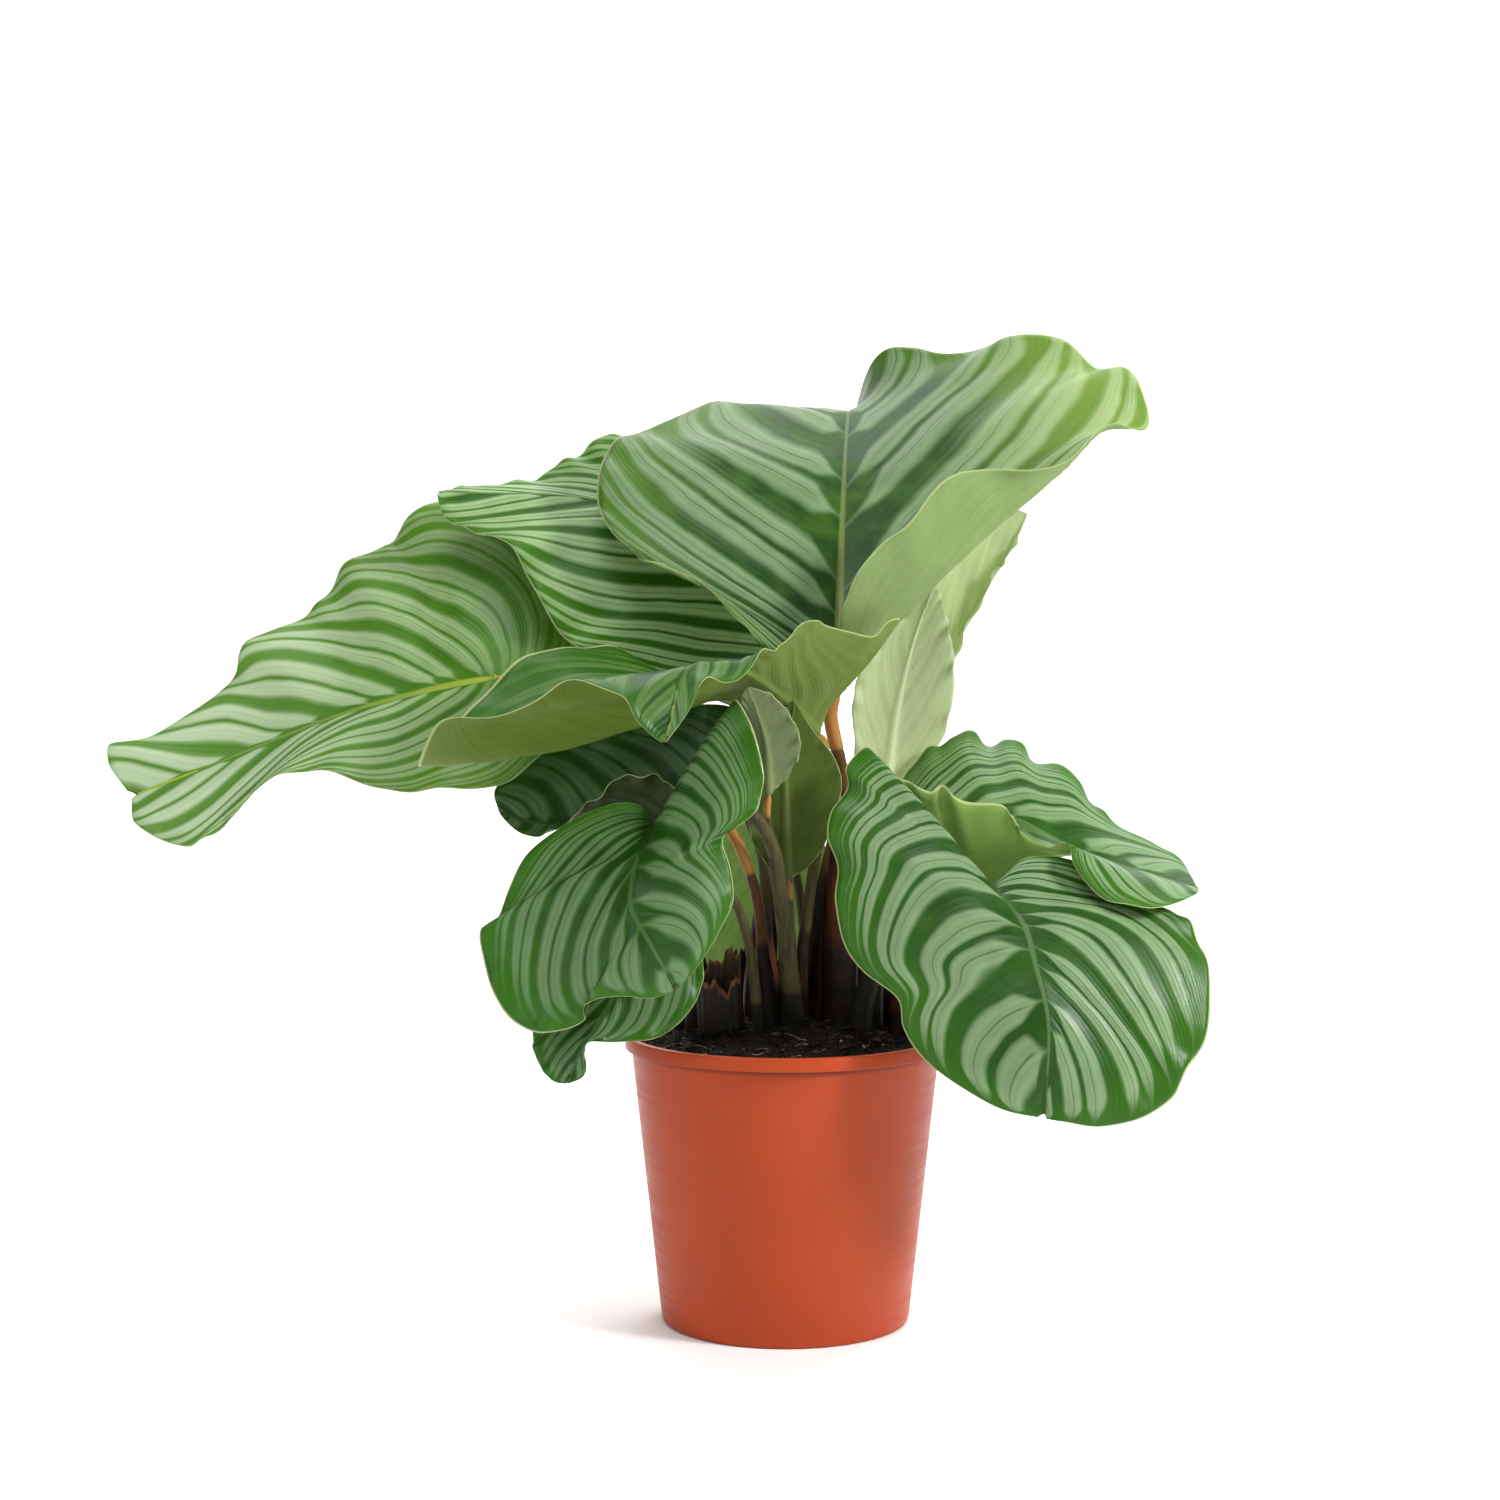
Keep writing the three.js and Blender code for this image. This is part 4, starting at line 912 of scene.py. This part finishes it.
def make_stalk(leaf, sizes):
    """A leaf's stalk: joint, ring, stem and sheath in one tube along its rail."""
    dense, travelled = stalk_path(leaf)
    length = travelled[-1]

    def middle_at(spot):
        return np.column_stack([np.interp(spot, travelled, dense[:, i]) for i in range(3)])

    piece, around, down = sheet(f"stem_{leaf.name}", sizes.stalk_sides, int(length / STALK_STEP))
    spot = down * length
    centre = middle_at(spot)
    ahead = unit(middle_at(spot + 1) - middle_at(spot - 1))
    across = unit(np.cross((0, 1, 0), ahead))
    over = np.cross(ahead, across)
    above = centre[:, 2] - SOIL_LEVEL
    joint = 1 - smoothstep(0.92, 1.05, spot / leaf.pulvinus)
    ring = hump(spot, leaf.pulvinus, RING_WIDTH)
    sheath = 1 - smoothstep(0.75, 1.1, above / leaf.sheath)
    angle = np.pi * around
    lobe = np.abs(((angle + 1.2 + 0.004 * above) % (2 * np.pi)) - np.pi) / np.pi
    top, waist, foot = leaf.stalk_radii
    radius = np.where(down < 0.5, top + (waist - top) * 2 * down,
                      waist + (foot - waist) * smoothstep(0.5, 1, down))
    radius = radius * (1 + 0.10 * joint * np.sin(np.pi * np.clip(spot / leaf.pulvinus, 0, 1)) - 0.10 * ring)
    radius = radius * (1 + 0.10 * sheath * (lobe > SEAM[0]) - 0.10 * sheath * hump(lobe, *SEAM))
    radius = radius * (1 + 0.015 * np.sin(9 * angle) * (1 - joint)) * (0.5 + 0.5 * smoothstep(0, 5, spot))
    shape(piece, centre + across * (radius * np.cos(angle))[:, None]
          + over * (radius * np.sin(angle))[:, None])
    store(piece, joint=joint, ring=ring, sheath=sheath)
    edit(piece, merge_seam, cap_ends, face_outward)
    name = f"stalk_{leaf.name}"
    finish_piece(piece, "stalk", name, finish=stalk_finish(name, STALK_TONES[leaf.stalk_tone]), angle=60)


class CALATHEA_OT_stalks(Operator):
    """Runs a jointed and sheathed stalk from each leaf down into the soil"""

    bl_idname = "calathea.stalks"
    bl_label = "Stalks"

    def execute(self, context):
        for leaf in LEAVES:
            make_stalk(leaf, context.scene.calathea_sizes)
        return {"FINISHED"}


# ---- pot and soil -------------------------------------------------------------------------

def turned(name, profile, segments):
    """A form turned about the Z axis from a profile. Gives each vertex's point and place on the profile."""
    profile = np.asarray(profile, float)
    last = len(profile) - 1
    piece, around, along = sheet(name, segments, last)
    spot = along * last
    radius, height = (np.interp(spot, range(last + 1), profile[:, i]) for i in range(2))
    angle = np.pi * around
    return piece, np.column_stack([radius * np.cos(angle), radius * np.sin(angle), height]), spot


def wall_radius(height):
    return POT_BASE_RADIUS + (POT_SHOULDER_RADIUS - POT_BASE_RADIUS) * height / POT_LIP_EDGE


def rounded(x, z, radius, start, end, steps=5):
    """Points of an arc in the profile, by angles in degrees."""
    angles = np.radians(np.linspace(start, end, steps))
    return [(x + radius * math.cos(a), z + radius * math.sin(a)) for a in angles]


def drill_drains(pot):
    """Cuts the ring of drain holes through the pot's floor."""
    drills = []
    for i in range(DRAIN_COUNT):
        turn = 2 * math.pi * i / DRAIN_COUNT + DRAIN_TURN
        place = (DRAIN_RING_RADIUS * MM * math.cos(turn), DRAIN_RING_RADIUS * MM * math.sin(turn),
                 POT_FLOOR / 2 * MM)
        bpy.ops.mesh.primitive_cylinder_add(vertices=DRAIN_SIDES, radius=DRAIN_RADIUS * MM,
                                            depth=4 * POT_FLOOR * MM, location=place)
        drills.append(bpy.context.object)
    select_only(*reversed(drills))
    bpy.ops.object.join()
    ring = bpy.context.object
    apply(pot, "BOOLEAN", object=ring, operation="DIFFERENCE", solver="EXACT")
    bpy.data.objects.remove(ring)


class CALATHEA_OT_pot(Operator):
    """Turns the pot with its tapered wall, rounded base and turned-down lip"""

    bl_idname = "calathea.pot"
    bl_label = "Pot"

    def execute(self, context):
        sizes, colours = context.scene.calathea_sizes, context.scene.calathea_colours
        top = POT_HEIGHT
        inner = wall_radius(top - 1) - POT_WALL
        foot = wall_radius(0)
        lip = POT_LIP_RADIUS
        profile = [
            (0, POT_FLOOR),
            (foot - POT_WALL - 4, POT_FLOOR),
            *rounded(foot - POT_WALL - 3, POT_FLOOR + 3, 3, -90, -4),
            (wall_radius(top * 0.5) - POT_WALL, top * 0.5),
            (inner, top - 1),
            *rounded(inner + 0.8, top - 0.8, 0.8, 180, 90, 4),
            *rounded(lip - 0.9, top - 0.9, 0.9, 90, 0),
            (lip - 0.05, POT_LIP_EDGE + 0.6),
            *rounded(lip - 0.55, POT_LIP_EDGE + 0.5, 0.5, 0, -90, 4),
            (lip - 1.5, POT_LIP_EDGE),
            (lip - 1.6, POT_LIP_EDGE + 0.3),
            (lip - 1.6, top - 2.4),
            (wall_radius(top - 3.2) + 0.2, top - 3.2),
            *((wall_radius(height), height) for height in (POT_LIP_EDGE, top * 0.66, top * 0.33, 3)),
            *rounded(foot - 2.2, 2.2, 2.2, 0, -90),
            (foot - 7, 0),
            (0, 0),
        ]
        piece, points, _ = turned("pot_shell", profile, sizes.pot_segments)
        shape(piece, points)
        edit(piece, merge_seam, face_outward)
        drill_drains(piece)
        finish = pot_finish("terracotta_plastic", tuple(colours.pot))
        finish_piece(piece, "pot", "pot", finish=finish, angle=40)
        return {"FINISHED"}


def soil_lumps(x, y):
    """How far lumps raise the soil, from a few waves in random directions."""
    chance = random.Random(SOIL_SEED)
    total = np.zeros(len(x))
    for octave in range(26):
        turn = chance.uniform(0, 2 * math.pi)
        pitch = 2 * math.pi / (24 * 0.88**octave)
        way = x * math.cos(turn) + y * math.sin(turn)
        total += 0.9**octave * np.sin(pitch * way + chance.uniform(0, 7))
    return SOIL_LUMPS * (total / 4)


def soil_height(radius, edge):
    """Height of the soil's low dome, without its lumps."""
    return SOIL_EDGE_HEIGHT + (SOIL_CROWN_HEIGHT - SOIL_EDGE_HEIGHT) * np.sin(
        np.pi / 2 * np.clip(1 - radius / edge, 0, 1))


class CALATHEA_OT_soil(Operator):
    """Fills the pot with lumpy potting mix"""

    bl_idname = "calathea.soil"
    bl_label = "Soil"

    def execute(self, context):
        edge = wall_radius(SOIL_EDGE_HEIGHT) - SOIL_INSET
        under = POT_FLOOR + 0.3
        profile = [(0, under), (wall_radius(POT_FLOOR) - 5, under),
                   (wall_radius(POT_FLOOR + 6) - 2, POT_FLOOR + 6)]
        radii = [edge * (1 - i / SOIL_RINGS) for i in range(SOIL_RINGS + 1)]
        profile += [(radius, soil_height(radius, edge)) for radius in radii]
        piece, points, spot = turned("potting_mix", profile, SOIL_SEGMENTS)
        points[:, 2] += smoothstep(3.0, 6.0, spot) * soil_lumps(points[:, 0], points[:, 1])
        shape(piece, points)
        edit(piece, merge_seam, face_outward)
        colour = tuple(context.scene.calathea_colours.soil)
        finish_piece(piece, "soil", "soil", finish=soil_finish("damp_soil", colour))
        return {"FINISHED"}


# ---- litter on the soil -------------------------------------------------------------------

def lump(name, chance, squash):
    """A crumb of about one unit with a few dozen faces, about the origin."""
    bpy.ops.mesh.primitive_ico_sphere_add(subdivisions=2, radius=1)
    piece = newest(name)
    points = coordinates(piece)
    for _ in range(3):
        way = np.array([chance.uniform(-1, 1) for _ in range(3)])
        points *= 1 + 0.28 * np.sin(points @ way * 4 + chance.uniform(0, 6))[:, None]
    shape(piece, points, np.array(squash))
    return piece


def thread(name, chance):
    """A thin curled fibre with a few dozen faces, one unit long, about the origin."""
    piece, around, along = sheet(name, 4, 9)
    bend, roll = chance.uniform(-1.4, 1.4), chance.uniform(0, 6)
    angle = np.pi * around
    thin = 0.022 * (1 - 0.6 * along)
    shape(piece, np.column_stack([
        along - 0.5,
        0.22 * bend * np.sin(3 * along + roll) + thin * np.cos(angle),
        0.10 * np.sin(4 * along + roll) + thin * np.sin(angle)]), 1)
    edit(piece, merge_seam, cap_ends, face_outward)
    return piece


def scatter(name, models, count, chance, low, high, finish, sink):
    """Copies of small models laid over the soil and joined into one piece."""
    edge = wall_radius(SOIL_EDGE_HEIGHT) - LITTER_INSET
    copies = []
    for _ in range(count):
        radius = edge * math.sqrt(chance.uniform(0, 1))
        angle = chance.uniform(0, 2 * math.pi)
        x, y = radius * math.cos(angle), radius * math.sin(angle)
        size = chance.uniform(low, high)
        model = chance.choice(models)
        copy = model.copy()
        copy.data = model.data.copy()
        bpy.context.scene.collection.objects.link(copy)
        c, s = math.cos(angle * 7), math.sin(angle * 7)
        turn = np.array([[c, -s, 0], [s, c, 0], [0, 0, 1]])
        ground = soil_height(radius, edge) + soil_lumps(np.array([x]), np.array([y]))[0]
        shape(copy, coordinates(copy) * size @ turn.T + np.array([x, y, ground - sink * size]))
        copies.append(copy)
    for model in models:
        bpy.data.objects.remove(model)
    select_only(*copies)
    bpy.ops.object.join()
    finish_piece(newest(name), "soil", finish=finish)


class CALATHEA_OT_litter(Operator):
    """Strews crumbs, bark, perlite and pale root fibres over the soil"""

    bl_idname = "calathea.litter"
    bl_label = "Soil crumbs and fibres"

    def execute(self, context):
        sizes = context.scene.calathea_sizes
        chance = random.Random(LITTER_SEED)
        heaps = (
            ("soil_crumbs", 4, (1, 0.9, 0.7), sizes.crumbs, 0.5, 2.0, 0.1,
             soil_finish("loose_soil", (0.005, 0.003, 0.002))),
            ("bark_chips", 3, (1.7, 0.8, 0.4), 90, 0.8, 2.4, 0.0,
             fibre_finish("bark", (0.070, 0.028, 0.012), (0.018, 0.008, 0.005))),
            ("perlite", 2, (1, 0.9, 0.8), 36, 0.35, 0.9, 0.0,
             fibre_finish("perlite", (0.62, 0.58, 0.52), (0.34, 0.29, 0.22))),
            ("root_fibres", 5, None, sizes.fibres, 5.0, 14.0, -0.08,
             fibre_finish("root_fibre", (0.46, 0.34, 0.24), (0.16, 0.09, 0.05))),
        )
        for name, kinds, squash, count, low, high, sink, finish in heaps:
            models = [lump(f"{name}_{i}", chance, squash) if squash else thread(f"{name}_{i}", chance)
                      for i in range(kinds)]
            scatter(name, models, count, chance, low, high, finish, sink)
        return {"FINISHED"}


# ---- old leaf bases -----------------------------------------------------------------------

class CALATHEA_OT_stub(Operator):
    """Shapes the torn base of an old leaf"""

    bl_idname = "calathea.stub"
    bl_label = "Torn stub"

    def execute(self, context):
        piece, around, up = sheet("torn_stub", 72, 60)
        angle = np.pi * around
        outer = smoothstep(0.0, STUB_WALL_SHARE, up)
        jag = (STUB_RIM + 7 * np.sin(angle + 0.4) + 4 * np.sin(2 * angle + 0.6) + 2.5 * np.sin(7 * angle + 1)
               + 1.2 * np.sin(17 * angle))
        inside = up > STUB_WALL_SHARE
        share = np.clip((up - STUB_WALL_SHARE) / (1 - STUB_WALL_SHARE), 0, 1)
        height = np.where(inside, jag - (jag - STUB_HOLLOW) * share**0.6,
                          FOOT_HEIGHT + (jag - FOOT_HEIGHT) * outer)
        shrink = np.where(inside, 1 - share, 1.0) * (1 + 0.03 * np.sin(15 * angle))
        lean = -3 * (height - FOOT_HEIGHT) / 50
        shape(piece, np.column_stack([
            STUB_CENTRE[0] + lean + STUB_RADII[0] * shrink * np.cos(angle),
            STUB_CENTRE[1] + STUB_RADII[1] * shrink * np.sin(angle),
            height]))
        # Painted shade: inside the hollow the torn flesh is mostly darkened toward the outer colour.
        store(piece, torn=np.where(inside, 0.5, smoothstep(jag - 6, jag - 1, height)))
        edit(piece, merge_seam, cap_ends, face_outward)
        finish_piece(piece, "stub", "cut_stub", finish=stub_finish("torn_sheath"), angle=50)
        return {"FINISHED"}


class CALATHEA_OT_sheaths(Operator):
    """Stands dry, dark, rolled leaf bases between the stalks"""

    bl_idname = "calathea.sheaths"
    bl_label = "Dry leaf bases"

    def execute(self, context):
        finish = stalk_finish("dry_sheath", STALK_TONES["dry"])
        for number, (x, y, height, radius, lean) in enumerate(DRY_SHEATHS):
            piece, around, up = sheet(f"dry_sheath_{number + 1}", 40, 36)
            angle = HUSK_WRAP * np.pi * around
            ragged = 1 + 0.05 * np.sin(7 * angle + number) + 0.03 * np.sin(19 * angle + 2 * number)
            rise = up * (height * (1 - 0.30 * np.abs(around) ** 3) * ragged)
            narrow = 1 - 0.62 * smoothstep(0.35, 1.1, up) + 0.05 * np.sin(3 * angle + 0.05 * rise)
            turn = angle - math.pi / 2 + 0.5 * math.sin(2.4 * number)
            shape(piece, np.column_stack([
                x + lean * up**2 + radius * narrow * np.cos(turn),
                y + 0.7 * radius * narrow * np.sin(turn),
                FOOT_HEIGHT + 2 + rise]))
            store(piece, joint=0 * up, ring=0 * up, sheath=1 - 0.75 * hump(up, 0.6, 0.22))
            apply(piece, "SOLIDIFY", thickness=HUSK_THICKNESS * MM, offset=0)
            finish_piece(piece, "stub", finish=finish, angle=60)
        return {"FINISHED"}


# ---- stage --------------------------------------------------------------------------------

def area_light(name, place, aim, size, power, glossy):
    bpy.ops.object.light_add(type="AREA", location=place)
    light = bpy.context.object
    light.name = name
    light.data.shape = "DISK"
    light.data.size = size
    light.data.energy = power
    x, y, z = np.array(aim, float) - np.array(place, float)
    light.rotation_euler = (math.atan2(math.hypot(x, y), -z), 0, math.atan2(x, -y) + math.pi)
    light.visible_glossy = glossy


class CALATHEA_OT_stage(Operator):
    """Sets the pale studio sweep, the soft lights and the camera"""

    bl_idname = "calathea.stage"
    bl_label = "Stage"

    def execute(self, context):
        colours = context.scene.calathea_colours
        floor, across, along = sheet("studio_sweep", 4, 60)
        back = smoothstep(0.62, 0.95, along)
        points = np.column_stack([4.0 * across, -3.0 + 7.0 * np.minimum(along, 0.8) - 0.3 * back,
                                  3.6 * np.maximum(along - 0.62, 0) * back * 3])
        shape(floor, points, 1)
        floor.data.materials.append(studio_finish("studio_paper", tuple(colours.floor)))
        bpy.ops.object.shade_smooth()
        for name, place, aim, size, power, glossy in LIGHTS:
            area_light(name, place, aim, size, power * colours.light, glossy)
        world = bpy.data.worlds.new("studio")
        world.use_nodes = True
        sky = world.node_tree.nodes["Background"].inputs
        sky["Color"].default_value = (1, 1, 1, 1)
        sky["Strength"].default_value = SKY * colours.light
        context.scene.world = world
        context.scene.view_settings.view_transform = "Standard"
        bpy.ops.object.camera_add(location=CAMERA_PLACE, rotation=(math.radians(CAMERA_TILT), 0, 0))
        camera = context.object
        camera.data.lens = CAMERA_LENS
        camera.data.sensor_width = 36
        context.scene.camera = camera
        return {"FINISHED"}


# ---- panel and registration ---------------------------------------------------------------

class CALATHEA_PT_build(Panel):
    """Lists the steps and the settings that they read"""

    bl_idname = "CALATHEA_PT_build"
    bl_label = "Potted calathea"
    bl_space_type = "VIEW_3D"
    bl_region_type = "UI"
    bl_category = "Calathea"

    def draw(self, context):
        layout = self.layout
        for group in (context.scene.calathea_sizes, context.scene.calathea_colours):
            box = layout.box()
            for key in group.bl_rna.properties.keys():
                if key not in ("rna_type", "name"):
                    box.prop(group, key)
        for step in STEPS:
            layout.operator(f"calathea.{step}")


CLASSES = (
    CalatheaSizes,
    CalatheaColours,
    CALATHEA_OT_stage,
    CALATHEA_OT_pot,
    CALATHEA_OT_soil,
    CALATHEA_OT_litter,
    CALATHEA_OT_stub,
    CALATHEA_OT_sheaths,
    CALATHEA_OT_stalks,
    CALATHEA_OT_leaves,
    CALATHEA_PT_build,
)


def register():
    for item in CLASSES:
        bpy.utils.register_class(item)
    bpy.types.Scene.calathea_sizes = PointerProperty(type=CalatheaSizes)
    bpy.types.Scene.calathea_colours = PointerProperty(type=CalatheaColours)


def unregister():
    del bpy.types.Scene.calathea_sizes
    del bpy.types.Scene.calathea_colours
    for item in reversed(CLASSES):
        bpy.utils.unregister_class(item)


def main():
    register()
    for step in STEPS:
        getattr(bpy.ops.calathea, step)()


if __name__ == "__main__":
    main()
